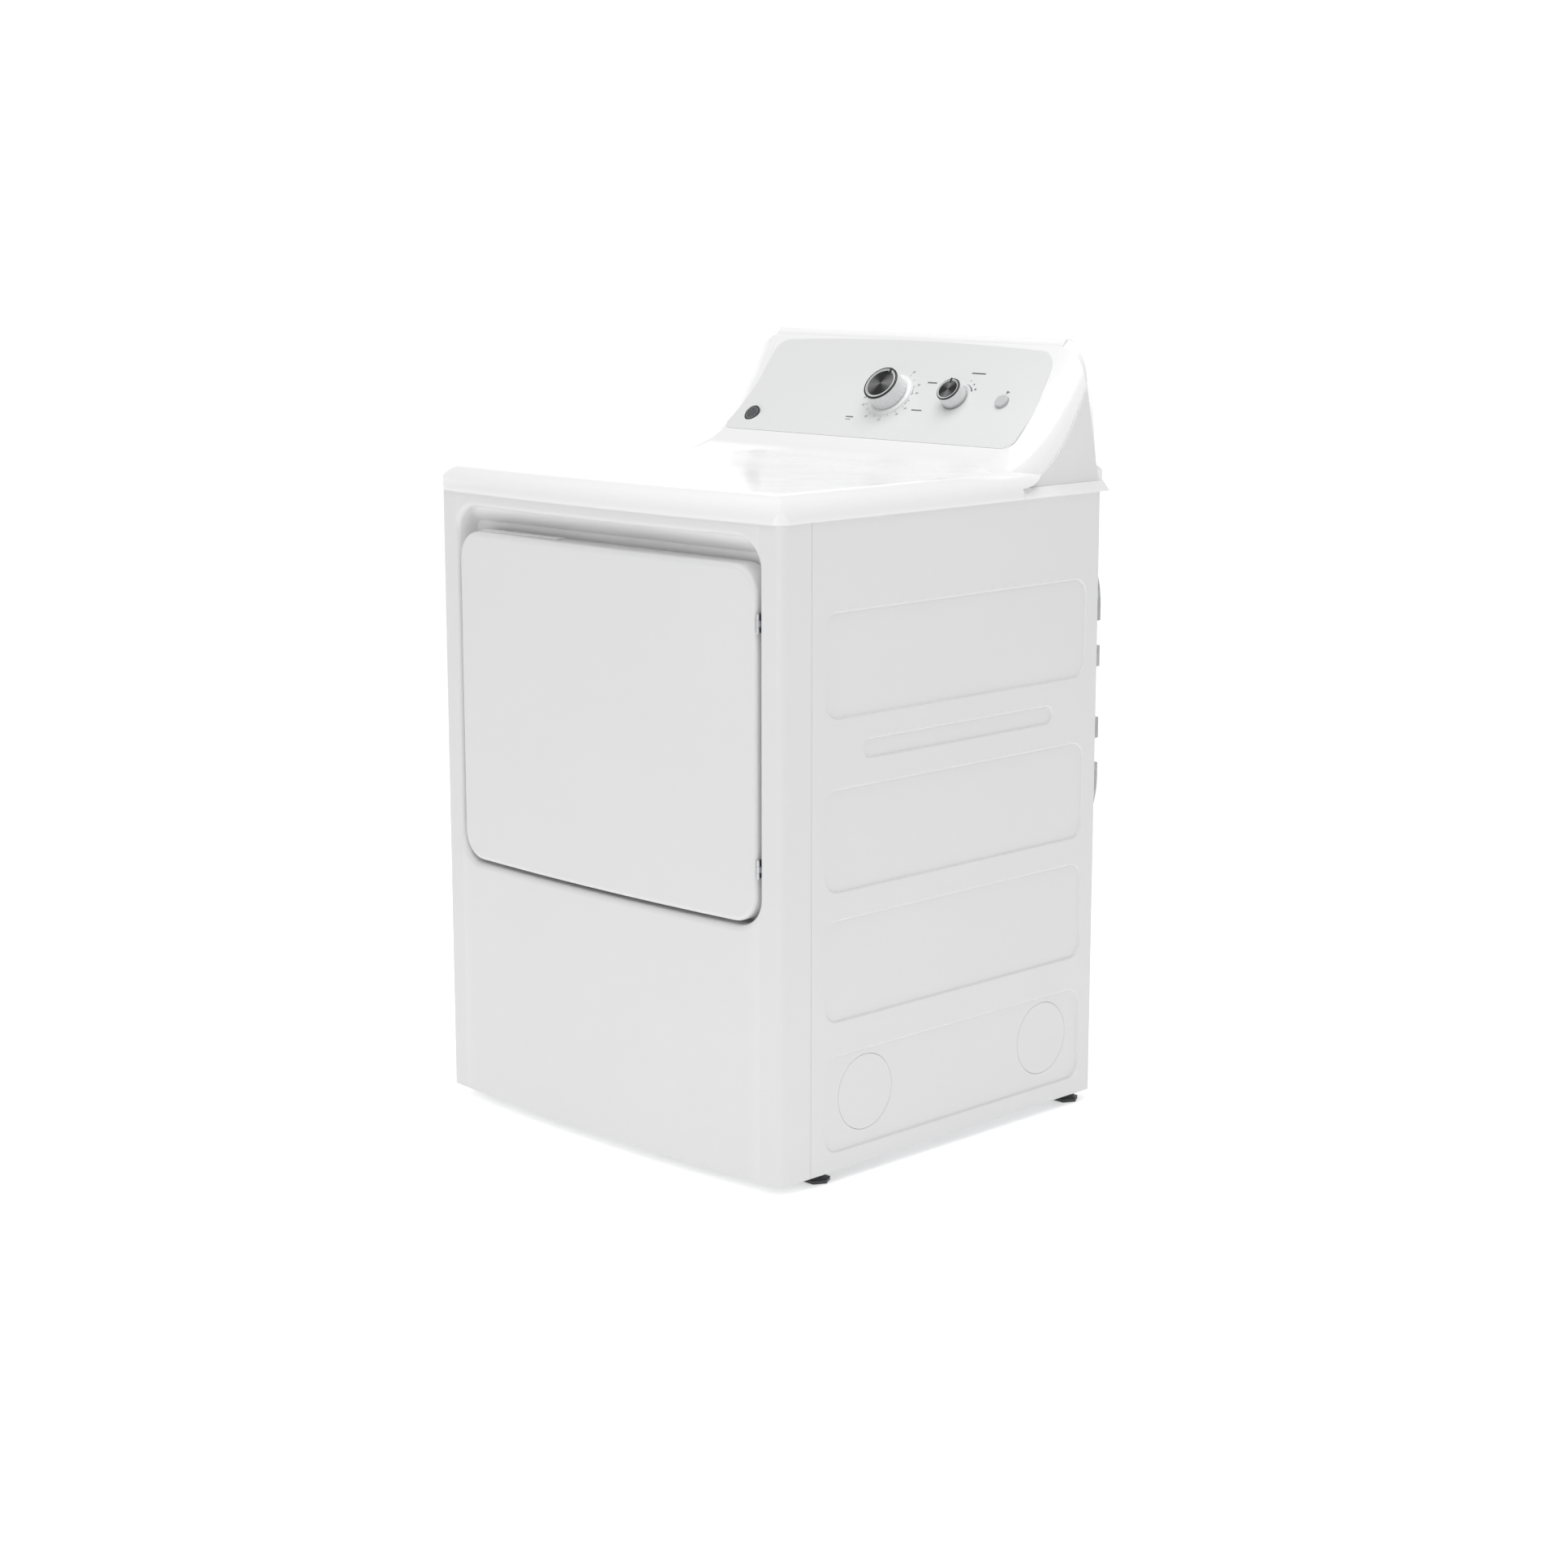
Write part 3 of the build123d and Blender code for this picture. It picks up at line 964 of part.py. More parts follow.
def hull_loop(extra):
    circles = [
        Pos(0, DOOR_MID_Z) * Circle(DRUM_R + RUN_GAP + extra),
        Pos(MOTOR_X, MOTOR_Z) * Circle(PULLEY_R + RUN_GAP + extra),
        Pos(IDLER_X, IDLER_Z) * Circle(IDLER_R + RUN_GAP + extra),
    ]
    return make_hull([e for c in circles for e in c.edges()])


def make_belt():
    y0 = BELT_Y - BELT_WIDE / 2
    loop = along_y(hull_loop(BELT_THICK), y0, y0 + BELT_WIDE) - along_y(hull_loop(0), y0 - 1, y0 + BELT_WIDE + 1)
    save("drive_belt", loop)
    wheel = rod(IDLER_R, IDLER_X, IDLER_Z, BELT_Y - 8, BELT_Y + 8)
    for y in (BELT_Y - 8, BELT_Y + 6):
        wheel += rod(IDLER_R + 3.5, IDLER_X, IDLER_Z, y, y + 2)
    wheel -= rod(IDLER_PIN_R + THREAD_GAP, IDLER_X, IDLER_Z, BELT_Y - 60, BELT_Y + 40)
    save("idler_pulley", wheel)
    arm = SlotCenterToCenter(hypot(IDLER_X - IDLER_PIVOT_X, IDLER_Z - IDLER_PIVOT_Z), 22)
    lean = degrees(asin((IDLER_X - IDLER_PIVOT_X) / (IDLER_Z - IDLER_PIVOT_Z)))
    place = Pos((IDLER_X + IDLER_PIVOT_X) / 2, (IDLER_Z + IDLER_PIVOT_Z) / 2) * Rot(0, 0, 90 - lean)
    body = along_y(place * arm, BELT_Y + 10, BELT_Y + 13)
    body += rod(IDLER_PIN_R, IDLER_X, IDLER_Z, BELT_Y - 10, BELT_Y + 11)
    body -= rod(PIVOT_PIN_R + THREAD_GAP, IDLER_PIVOT_X, IDLER_PIVOT_Z, BELT_Y - 60, BELT_Y + 40)
    save("idler_arm", body)


# ---- electrical inlet and fasteners -------------------------------------------------------------
def make_terminal():
    x = TERMINAL_X
    face = DEPTH - SHEET
    base = block(x - 35, x + 35, face - 24, face - 6, 160, 196)
    base += block(x - 42, x + 42, face - 6, face, 150, 205) - block(x - 33, x + 33, face - 50, face + 50, 158, 198)
    for step in (-20, 0, 20):
        base += rod(3, x + step, 178, face - 8, DEPTH - 1)
    save("terminal_block", base)
    lid = block(x - 50, x + 50, DEPTH, DEPTH + 14, 128, 215)
    lid -= block(x - 48.5, x + 48.5, DEPTH - 1, DEPTH + 12.5, 129.5, 213.5)
    lid -= post(9, x, DEPTH + 6.5, 120, 135) & block(x - 50, x + 50, DEPTH + 0.1, DEPTH + 14, 100, 140)
    save("terminal_cover", lid)


def make_screws():
    heads = []
    edge = HALF - 16.5
    spots = [(x, z) for x in (-edge, edge) for z in (60, 250, PANEL_TOP - 8.8)]
    spots += [(-60, 240), (60, 240), (-110, 30), (110, 30)]
    for x, z in spots:
        groove = block(x - 3, x + 3, DEPTH + 1.4, DEPTH + 3, z - 0.5, z + 0.5)
        heads.append(rod(4.5, x, z, DEPTH, DEPTH + 2.4) - groove)
    for k in (-3, -1, 1, 3):
        x = k * (CONSOLE_HALF - 44) / 3
        head = rod(4, x, CREST_Z - 34, CONSOLE_BACK + 1.2, CONSOLE_BACK + 3.2)
        heads.append(head)
    save("rear_screws", *heads)


make_front_panel()
make_side_panels()
make_rear_panel()
make_heater_cover()
make_base_pan()
make_legs()
make_top_cover()
make_fascia()
make_end_caps()
make_console_rear_cover()
make_controls()
make_door()
make_hinges()
make_bulkhead()
make_drum()
make_rear_drive()
make_blower()
make_trap_duct()
make_lint_filter()
make_motor()
make_belt()
make_terminal()
make_screws()

os.makedirs("parts", exist_ok=True)
for name, shape in NODES.items():
    export_step(shape, f"parts/{name}.step")
print(len(NODES), "nodes")
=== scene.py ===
import json
from math import atan2, cos, pi, radians, sin, sqrt
import bmesh
import bpy
from mathutils import Matrix, Vector


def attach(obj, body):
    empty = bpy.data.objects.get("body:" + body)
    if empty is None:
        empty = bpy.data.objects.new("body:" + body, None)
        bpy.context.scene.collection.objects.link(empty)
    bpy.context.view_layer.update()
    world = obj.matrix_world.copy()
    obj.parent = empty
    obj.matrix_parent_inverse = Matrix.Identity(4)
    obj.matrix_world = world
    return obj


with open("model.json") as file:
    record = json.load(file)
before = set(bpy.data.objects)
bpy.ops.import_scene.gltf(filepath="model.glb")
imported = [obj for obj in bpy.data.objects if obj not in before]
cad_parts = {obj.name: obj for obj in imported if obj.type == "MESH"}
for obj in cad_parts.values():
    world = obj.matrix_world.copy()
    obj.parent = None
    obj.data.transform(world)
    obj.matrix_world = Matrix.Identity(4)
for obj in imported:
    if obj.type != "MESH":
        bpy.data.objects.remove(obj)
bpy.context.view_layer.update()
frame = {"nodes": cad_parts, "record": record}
nodes = frame["nodes"]
scene = bpy.context.scene


def add_object(name, data):
    obj = bpy.data.objects.new(name, data)
    scene.collection.objects.link(obj)
    return obj


# ---- node helpers ----------------------------------------------------------------------------
class Tree:
    """A short way to build one material's nodes."""

    def __init__(self, name):
        self.material = bpy.data.materials.new(name)
        self.material.use_nodes = True
        self.tree = self.material.node_tree
        self.shader = self.tree.nodes["Principled BSDF"]
        self.coords = self.add("ShaderNodeTexCoord").outputs["Object"]

    def add(self, kind, **settings):
        node = self.tree.nodes.new(kind)
        for key, value in settings.items():
            setattr(node, key, value)
        return node

    def link(self, source, target):
        self.tree.links.new(source, target)

    def noise(self, scale, detail=3.0, stretch=(1, 1, 1), roughness=0.5):
        mapping = self.add("ShaderNodeMapping")
        mapping.inputs["Scale"].default_value = stretch
        self.link(self.coords, mapping.inputs["Vector"])
        node = self.add("ShaderNodeTexNoise")
        node.inputs["Scale"].default_value = scale
        node.inputs["Detail"].default_value = detail
        node.inputs["Roughness"].default_value = roughness
        self.link(mapping.outputs["Vector"], node.inputs["Vector"])
        return node.outputs["Fac"]

    def put(self, value, socket):
        """Link an output, or set a plain number."""
        if isinstance(value, (int, float)):
            socket.default_value = value
        else:
            self.link(value, socket)

    def math(self, operation, first, second):
        node = self.add("ShaderNodeMath", operation=operation)
        self.put(first, node.inputs[0])
        self.put(second, node.inputs[1])
        return node.outputs["Value"]

    def vector(self, operation, source, second=None, output="Vector"):
        node = self.add("ShaderNodeVectorMath", operation=operation)
        self.link(source, node.inputs[0])
        if second is not None:
            node.inputs[1].default_value = second
        return node.outputs[output]

    def dot(self, source, direction):
        return self.vector("DOT_PRODUCT", source, direction, "Value")

    def mix(self, factor, first, color):
        node = self.add("ShaderNodeMix", data_type="RGBA")
        self.link(factor, node.inputs["Factor"])
        self.link(first, node.inputs["A"])
        node.inputs["B"].default_value = as_color(color)
        return node.outputs["Result"]

    def steps(self, source, stops):
        """Sharp bands: each stop gives where a band starts and its value."""
        node = self.add("ShaderNodeValToRGB")
        node.color_ramp.interpolation = "CONSTANT"
        elements = node.color_ramp.elements
        while len(elements) < len(stops):
            elements.new(0.5)
        for element, (start, value) in zip(elements, stops):
            element.position = start
            element.color = as_color(value)
        self.link(source, node.inputs["Fac"])
        return node.outputs["Color"]

    def ramp(self, source, low, high, start=0.3, end=0.7):
        """Map a 0-1 value to a range of values or colours."""
        node = self.add("ShaderNodeValToRGB")
        node.color_ramp.elements[0].position = start
        node.color_ramp.elements[1].position = end
        node.color_ramp.elements[0].color = as_color(low)
        node.color_ramp.elements[1].color = as_color(high)
        self.link(source, node.inputs["Fac"])
        return node.outputs["Color"]

    def bump(self, source, strength, distance):
        node = self.add("ShaderNodeBump")
        node.inputs["Strength"].default_value = strength
        node.inputs["Distance"].default_value = distance
        self.link(source, node.inputs["Height"])
        return node.outputs["Normal"]


def as_color(value):
    if isinstance(value, (int, float)):
        return (value, value, value, 1)
    return (*value, 1)


def painted(name, color, rough, grain=900, bump=0.05, coat=0.0, spread=0.012):
    """Paint or moulded plastic: faint colour drift, fine orange peel and uneven gloss."""
    t = Tree(name)
    low = tuple(c * (1 - spread) for c in color)
    high = tuple(min(1, c * (1 + spread)) for c in color)
    t.link(t.ramp(t.noise(3.0), low, high), t.shader.inputs["Base Color"])
    t.link(t.ramp(t.noise(14.0), rough * 0.88, rough * 1.12), t.shader.inputs["Roughness"])
    t.link(t.bump(t.noise(grain, 2.0), bump, 0.0004), t.shader.inputs["Normal"])
    t.shader.inputs["Coat Weight"].default_value = coat
    t.shader.inputs["Coat Roughness"].default_value = 0.12
    return t.material


def galvanised(name, color, rough=0.42):
    """Zinc-coated sheet with its crystal spangle."""
    t = Tree(name)
    cells = t.add("ShaderNodeTexVoronoi")
    cells.inputs["Scale"].default_value = 70
    t.link(t.coords, cells.inputs["Vector"])
    grey = t.add("ShaderNodeRGBToBW")
    t.link(cells.outputs["Color"], grey.inputs["Color"])
    low = tuple(c * 0.82 for c in color)
    high = tuple(min(1, c * 1.15) for c in color)
    t.link(t.ramp(grey.outputs["Val"], low, high, 0.2, 0.8), t.shader.inputs["Base Color"])
    t.link(t.ramp(grey.outputs["Val"], rough * 0.8, rough * 1.25, 0.1, 0.9), t.shader.inputs["Roughness"])
    t.link(t.bump(t.noise(300, 3.0), 0.06, 0.0005), t.shader.inputs["Normal"])
    t.shader.inputs["Metallic"].default_value = 0.85
    return t.material


def brushed(name, color, rough=0.3, stretch=(1, 1, 40)):
    """Plated or brushed metal with fine lines."""
    t = Tree(name)
    lines = t.noise(60, 4.0, stretch)
    t.link(t.ramp(lines, tuple(c * 0.85 for c in color), color), t.shader.inputs["Base Color"])
    t.link(t.ramp(lines, rough * 0.8, rough * 1.3), t.shader.inputs["Roughness"])
    t.link(t.bump(lines, 0.08, 0.0003), t.shader.inputs["Normal"])
    t.shader.inputs["Metallic"].default_value = 1.0
    return t.material


def felt(name, color):
    """Matt pressed felt with a faint sheen."""
    t = Tree(name)
    fibres = t.noise(500, 6.0, (1, 1, 1), 0.7)
    t.link(t.ramp(fibres, tuple(c * 0.7 for c in color), color), t.shader.inputs["Base Color"])
    t.link(t.bump(fibres, 0.6, 0.002), t.shader.inputs["Normal"])
    t.shader.inputs["Roughness"].default_value = 0.95
    t.shader.inputs["Sheen Weight"].default_value = 0.4
    return t.material


def screen(name, color):
    """Fine woven screen: two sets of threads."""
    t = Tree(name)
    waves = []
    for direction in ("X", "Z"):
        wave = t.add("ShaderNodeTexWave", bands_direction=direction)
        wave.inputs["Scale"].default_value = 260
        t.link(t.coords, wave.inputs["Vector"])
        waves.append(wave.outputs["Fac"])
    threads = t.math("MULTIPLY", waves[0], waves[1])
    dark = tuple(c * 0.3 for c in color)
    t.link(t.ramp(threads, color, dark, 0.1, 0.6), t.shader.inputs["Base Color"])
    t.link(t.bump(threads, 0.5, 0.0006), t.shader.inputs["Normal"])
    t.shader.inputs["Roughness"].default_value = 0.7
    return t.material


def rubber(name, color):
    """Dull rubber with a cloudy bloom."""
    t = Tree(name)
    bloom = t.noise(40, 5.0)
    t.link(t.ramp(bloom, color, tuple(min(1, c * 1.25) for c in color)), t.shader.inputs["Base Color"])
    t.link(t.ramp(bloom, 0.6, 0.85), t.shader.inputs["Roughness"])
    t.link(t.bump(t.noise(700, 3.0), 0.15, 0.0005), t.shader.inputs["Normal"])
    return t.material


# ---- the control panel's surface -------------------------------------------------------------
SLOPE = radians(49.64)
PANEL_FOOT = (0.1803, 0.9525)      # y and z of the lower end of the panel's chord
PANEL_LENGTH = 0.18
PANEL_HOLLOW = 0.0118
PANEL_PROUD = 0.0006
HOLLOW_R = (PANEL_LENGTH ** 2 / 4 + PANEL_HOLLOW ** 2) / (2 * PANEL_HOLLOW)
UP_SLOPE = Vector((0, cos(SLOPE), sin(SLOPE)))
OUT = Vector((0, -sin(SLOPE), cos(SLOPE)))
TIMER = (0.003, 0.086)
TEMPERATURE = (0.1275, 0.0885)
START = (0.218, 0.086)
BADGE = (-0.248, 0.034)


def on_panel(x, t, lift=0.0):
    """A point on the concave panel at x and t up its chord, lifted outwards."""
    from_mid = t - PANEL_LENGTH / 2
    depth = HOLLOW_R - sqrt(HOLLOW_R ** 2 - from_mid ** 2) - PANEL_HOLLOW + PANEL_PROUD
    foot = Vector((x, *PANEL_FOOT))
    return foot + UP_SLOPE * t + OUT * (depth + lift)


def from_axis(t, place):
    """Node output: the vector in metres from where a control's axis meets the panel."""
    return t.vector("SUBTRACT", t.coords, on_panel(*place))


def laid_flat(t, offset):
    """The part of an offset that lies along the panel, as a flat vector."""
    flat = t.add("ShaderNodeCombineXYZ")
    t.link(t.dot(offset, (1, 0, 0)), flat.inputs["X"])
    t.link(t.dot(offset, UP_SLOPE), flat.inputs["Y"])
    return flat.outputs["Vector"]


def spun_face(name, place, radius, turn):
    """Dial face: spun dark metal with a bright ring and a black rim, and a painted highlight in two
    opposite lobes; turn sets where the painted highlight lies.
    """
    t = Tree(name)
    flat = laid_flat(t, from_axis(t, place))
    unit = t.vector("NORMALIZE", flat)
    rays = t.add("ShaderNodeTexNoise", noise_dimensions="3D")
    rays.inputs["Scale"].default_value = 46
    rays.inputs["Detail"].default_value = 5
    t.link(unit, rays.inputs["Vector"])
    # painted highlight: two bright lobes across the face, set by turn, stand in for the spun metal's
    # reflections
    direction = t.dot(unit, (cos(turn), sin(turn), 0))
    square = t.math("MULTIPLY", direction, direction)
    highlight_lobes = t.math("POWER", square, 1.6)
    highlight_patches = t.add("ShaderNodeTexNoise", noise_dimensions="3D")
    highlight_patches.inputs["Scale"].default_value = 1.7
    t.link(unit, highlight_patches.inputs["Vector"])
    painted_highlight = t.math("MULTIPLY", highlight_lobes, t.math("ADD", highlight_patches.outputs["Fac"], 0.25))
    streak = t.math("MULTIPLY", t.math("SUBTRACT", rays.outputs["Fac"], 0.5), 0.10)
    metal_with_painted_highlight = t.ramp(t.math("ADD", painted_highlight, streak), 0.012, 0.23, 0.02, 0.85)
    share = t.math("DIVIDE", t.vector("LENGTH", flat, output="Value"), radius)
    ring = t.steps(share, [(0.0, 0.0), (0.92, 1.0), (0.995, 0.0)])
    rim = t.steps(share, [(0.0, 0.0), (0.995, 1.0)])
    with_ring = t.mix(ring, metal_with_painted_highlight, (0.66, 0.67, 0.68))
    t.link(t.mix(rim, with_ring, (0.008, 0.008, 0.009)), t.shader.inputs["Base Color"])
    t.link(t.ramp(rays.outputs["Fac"], 0.24, 0.42), t.shader.inputs["Roughness"])
    t.link(t.bump(rays.outputs["Fac"], 0.12, 0.0002), t.shader.inputs["Normal"])
    t.shader.inputs["Metallic"].default_value = 0.35
    return t.material


def barrel(name, place, top, ring, reach):
    """Pearl barrel with fine flecks, its front rim black and painted shade darkening its foot by the panel.
    """
    t = Tree(name)
    offset = from_axis(t, place)
    height = t.dot(offset, OUT)
    distance = t.vector("LENGTH", laid_flat(t, offset), output="Value")
    flecks = t.noise(1500, 4.0, (1, 1, 1), 0.7)
    base = t.ramp(flecks, (0.66, 0.665, 0.675), (0.80, 0.805, 0.81), 0.3, 0.62)
    # painted shade: the colour drops to 0.45 towards the barrel's foot, over the first 30% of reach, where
    # it meets the panel
    foot = t.ramp(t.math("DIVIDE", height, reach), 0.45, 1.0, 0.0, 0.30)
    shaded = t.add("ShaderNodeMix", data_type="RGBA", blend_type="MULTIPLY")
    shaded.inputs["Factor"].default_value = 1.0
    t.link(base, shaded.inputs["A"])
    t.link(foot, shaded.inputs["B"])
    front = t.math("GREATER_THAN", height, top)
    edge = t.math("GREATER_THAN", distance, ring)
    bright = t.mix(front, shaded.outputs["Result"], (0.70, 0.71, 0.72))
    black = t.math("MULTIPLY", front, edge)
    t.link(t.mix(black, bright, (0.01, 0.01, 0.011)), t.shader.inputs["Base Color"])
    t.link(t.ramp(t.noise(30.0), 0.22, 0.32), t.shader.inputs["Roughness"])
    t.link(t.bump(flecks, 0.03, 0.0003), t.shader.inputs["Normal"])
    t.shader.inputs["Coat Weight"].default_value = 0.4
    return t.material


FRONT_Y = -0.336            # just behind the front's foremost line
RECESS_HALF_WIDTH = 0.3047


def front_enamel():
    """The front's enamel, with painted light in the door recess: its colour is raised from about 0.76 to
    0.94 there to lift the recess's shade.
    """
    t = Tree("front_enamel")
    axes = t.add("ShaderNodeSeparateXYZ")
    t.link(t.coords, axes.inputs["Vector"])
    depth = t.math("SUBTRACT", axes.outputs["Y"], FRONT_Y)
    behind = t.ramp(t.math("MULTIPLY", depth, 20), 0.0, 1.0, 0.22, 0.50)
    within = t.math("LESS_THAN", t.math("ABSOLUTE", axes.outputs["X"], 0.0), RECESS_HALF_WIDTH)
    # painted light: surfaces deep in the door recess get a whiter colour to brighten their shade
    recess_painted_light = t.math("MULTIPLY", behind, within)
    worn = t.ramp(t.noise(3.0), (0.760, 0.760, 0.760), (0.770, 0.770, 0.770))
    t.link(t.mix(recess_painted_light, worn, (0.94, 0.94, 0.94)), t.shader.inputs["Base Color"])
    t.link(t.ramp(t.noise(14.0), 0.37, 0.47), t.shader.inputs["Roughness"])
    t.link(t.bump(t.noise(700, 2.0), 0.05, 0.0004), t.shader.inputs["Normal"])
    t.shader.inputs["Coat Weight"].default_value = 0.15
    t.shader.inputs["Coat Roughness"].default_value = 0.12
    return t.material


def badge_face(name, place, radius):
    """Plain dark disc with two turned rings and a faintly cloudy middle."""
    t = Tree(name)
    distance = t.vector("LENGTH", laid_flat(t, from_axis(t, place)), output="Value")
    share = t.math("DIVIDE", distance, radius)
    cloud = t.ramp(t.noise(420, 4.0), (0.045, 0.045, 0.05), (0.12, 0.12, 0.13))
    ring = t.steps(share, [(0.0, 0.0), (0.72, 1.0), (0.78, 0.0)])
    rim = t.steps(share, [(0.0, 0.0), (0.84, 1.0)])
    with_ring = t.mix(ring, cloud, (0.2, 0.2, 0.21))
    t.link(t.mix(rim, with_ring, (0.012, 0.012, 0.014)), t.shader.inputs["Base Color"])
    t.link(t.ramp(t.noise(60.0), 0.2, 0.34), t.shader.inputs["Roughness"])
    t.link(t.bump(ring, 0.3, 0.0004), t.shader.inputs["Normal"])
    t.shader.inputs["Coat Weight"].default_value = 0.4
    return t.material


# ---- materials of the CAD nodes --------------------------------------------------------------
ENAMEL = painted("white_enamel", (0.765, 0.765, 0.765), 0.42, grain=700, bump=0.05, coat=0.15, spread=0.006)
COVER = painted("gloss_white_cover", (0.90, 0.90, 0.90), 0.22, grain=500, bump=0.02, coat=0.5, spread=0.003)
END_CAP = painted("end_cap_grey", (0.77, 0.77, 0.775), 0.45, grain=1100, bump=0.08)
FASCIA = painted("fascia_grey", (0.745, 0.748, 0.75), 0.38, grain=1600, bump=0.04, spread=0.004)
KNOB = painted("knob_pearl", (0.78, 0.785, 0.80), 0.26, grain=1500, bump=0.02, coat=0.6)
BLACK = painted("black_gloss", (0.015, 0.015, 0.016), 0.18, grain=900, bump=0.02, coat=0.5)
CHROME = brushed("bright_metal", (0.86, 0.87, 0.88), 0.16, (1, 1, 1))
STEEL = brushed("zinc_plate", (0.62, 0.63, 0.65), 0.32)
ZINC = galvanised("galvanised_sheet", (0.42, 0.43, 0.44))
DRUM = painted("drum_powder_coat", (0.62, 0.63, 0.64), 0.5, grain=1300, bump=0.15)
BAFFLE = painted("baffle_plastic", (0.55, 0.56, 0.58), 0.45, grain=900, bump=0.1)
FELT = felt("pressed_felt", (0.36, 0.36, 0.33))
MESH = screen("lint_screen", (0.55, 0.57, 0.6))
SEAL = rubber("grey_seal", (0.38, 0.39, 0.4))
BELT = rubber("black_belt", (0.02, 0.02, 0.02))
DUCT = painted("duct_plastic", (0.16, 0.165, 0.17), 0.5, grain=700, bump=0.15)
MOTOR = painted("motor_paint", (0.16, 0.18, 0.2), 0.45, grain=500, bump=0.12)
CASE = painted("switch_case", (0.03, 0.03, 0.032), 0.5, grain=900, bump=0.1)
BRONZE = brushed("sintered_bronze", (0.6, 0.42, 0.22), 0.5, (1, 1, 1))
CERAMIC = painted("ceramic_and_coil", (0.62, 0.56, 0.48), 0.7, grain=300, bump=0.3)
LEG = painted("leg_black", (0.045, 0.046, 0.048), 0.5, grain=900, bump=0.12)

NODE_MATERIALS = {
    "enamel": ENAMEL, "cover_gloss": COVER, "end_cap": END_CAP, "galvanised": ZINC, "fascia": FASCIA,
    "badge": BLACK, "knob_barrel": KNOB, "knob_face": BLACK, "steel": STEEL, "switch_case": CASE,
    "terminal_lid": ZINC, "drum_coat": DRUM, "baffle_plastic": BAFFLE, "felt": FELT,
    "filter_screen": MESH, "seal_rubber": SEAL, "belt_rubber": BELT, "grey_plastic": DUCT,
    "motor": MOTOR, "bearing": BRONZE, "heater": CERAMIC, "pulley": CHROME, "leg_plastic": LEG,
}

# nodes that need a look of their own in place of their slot's
SPECIAL = {
    "front_panel": front_enamel(),
    "timer_knob_face": spun_face("timer_face", TIMER, 0.0242, 0.30),
    "temperature_knob_face": spun_face("temperature_face", TEMPERATURE, 0.0164, 1.75),
    "timer_knob": barrel("timer_barrel", TIMER, 0.0281, 0.0254, 0.026),
    "temperature_knob": barrel("temperature_barrel", TEMPERATURE, 0.0201, 0.0172, 0.021),
    "badge_disc": badge_face("badge_face", BADGE, 0.0135),
    "start_button": painted("button_grey", (0.53, 0.535, 0.54), 0.4, grain=1400, bump=0.05, coat=0.2),
}


def dress_nodes():
    for part in frame["record"]["subparts"]:
        obj = nodes[part["node"]]
        obj.data.materials.clear()
        look = SPECIAL.get(part["node"], NODE_MATERIALS[part["material_slot"]])
        obj.data.materials.append(look)


# ---- printed marks on the panel --------------------------------------------------------------
INK = painted("grey_ink", (0.13, 0.13, 0.135), 0.6, grain=2500, bump=0.1, spread=0.2)
MARK_LIFT = 0.00012
BAR = 0.0022                # height of a plain bar
TICK = (0.0392, 0.0425)     # inner and outer radius of the timer's ticks
TICK_WIDE = 0.0006
TICK_CLOCKS = range(28, 263, 18)
NUMBERS = ((28, "60"), (64, "50"), (82, "40"), (118, "30"), (136, "20"), (172, "10"), (208, "80"),
           (244, "70"), (262, "60"))
NUMBER_RADIUS = 0.0475
NUMBER_TALL = 0.0052


def marks_piece(name, outlines):
    """One thin printed piece: each outline is a ring of (x, t) points draped on the panel."""
    mesh = bpy.data.meshes.new(name)
    bm = bmesh.new()
    for outline in outlines:
        bm.faces.new([bm.verts.new(on_panel(x, t, MARK_LIFT)) for x, t in outline])
    bmesh.ops.recalc_face_normals(bm, faces=bm.faces)
    bm.to_mesh(mesh)
    bm.free()
    piece = add_object(name, mesh)
    mesh.materials.append(INK)
    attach(piece, "cabinet")


def around(place, radius, clock):
    """(x, t) at a clock angle in degrees, clockwise from straight up."""
    a = radians(clock)
    return (place[0] + radius * sin(a), place[1] + radius * cos(a))


def radial_bar(place, near, far, clock, wide):
    half = degrees_wide(wide, (near + far) / 2)
    return [around(place, near, clock - half), around(place, far, clock - half),
            around(place, far, clock + half), around(place, near, clock + half)]


def degrees_wide(wide, radius):
    return wide / radius * 90 / pi


def flat_bar(x, t, long, tall):
    return [(x - long / 2, t - tall / 2), (x + long / 2, t - tall / 2),
            (x + long / 2, t + tall / 2), (x - long / 2, t + tall / 2)]


def arc_wedge(place, radius, start, stop, thin, thick, parts=14):
    """A curved wedge that thickens from thin to thick."""
    shapes = []
    for k in range(parts):
        a0 = start + (stop - start) * k / parts
        a1 = start + (stop - start) * (k + 1) / parts
        w0 = thin + (thick - thin) * k / parts
        w1 = thin + (thick - thin) * (k + 1) / parts
        shapes.append([around(place, radius, a0), around(place, radius + w0, a0),
                       around(place, radius + w1, a1), around(place, radius, a1)])
    return shapes


def dot(x, t, radius):
    return [(x + radius * cos(2 * pi * k / 16), t + radius * sin(2 * pi * k / 16)) for k in range(16)]


def number(name, text, x, t, tall):
    """A dial number standing on the panel's surface."""
    data = bpy.data.curves.new(name, "FONT")
    data.body = text
    data.size = tall
    data.align_x = "CENTER"
    data.align_y = "CENTER"
    data.shear = 0.25
    piece = add_object(name, data)
    from_mid = t - PANEL_LENGTH / 2
    tilt = SLOPE + atan2(from_mid, HOLLOW_R)
    piece.matrix_world = Matrix.Translation(on_panel(x, t, MARK_LIFT)) @ Matrix.Rotation(tilt, 4, "X")
    data.materials.append(INK)
    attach(piece, "cabinet")


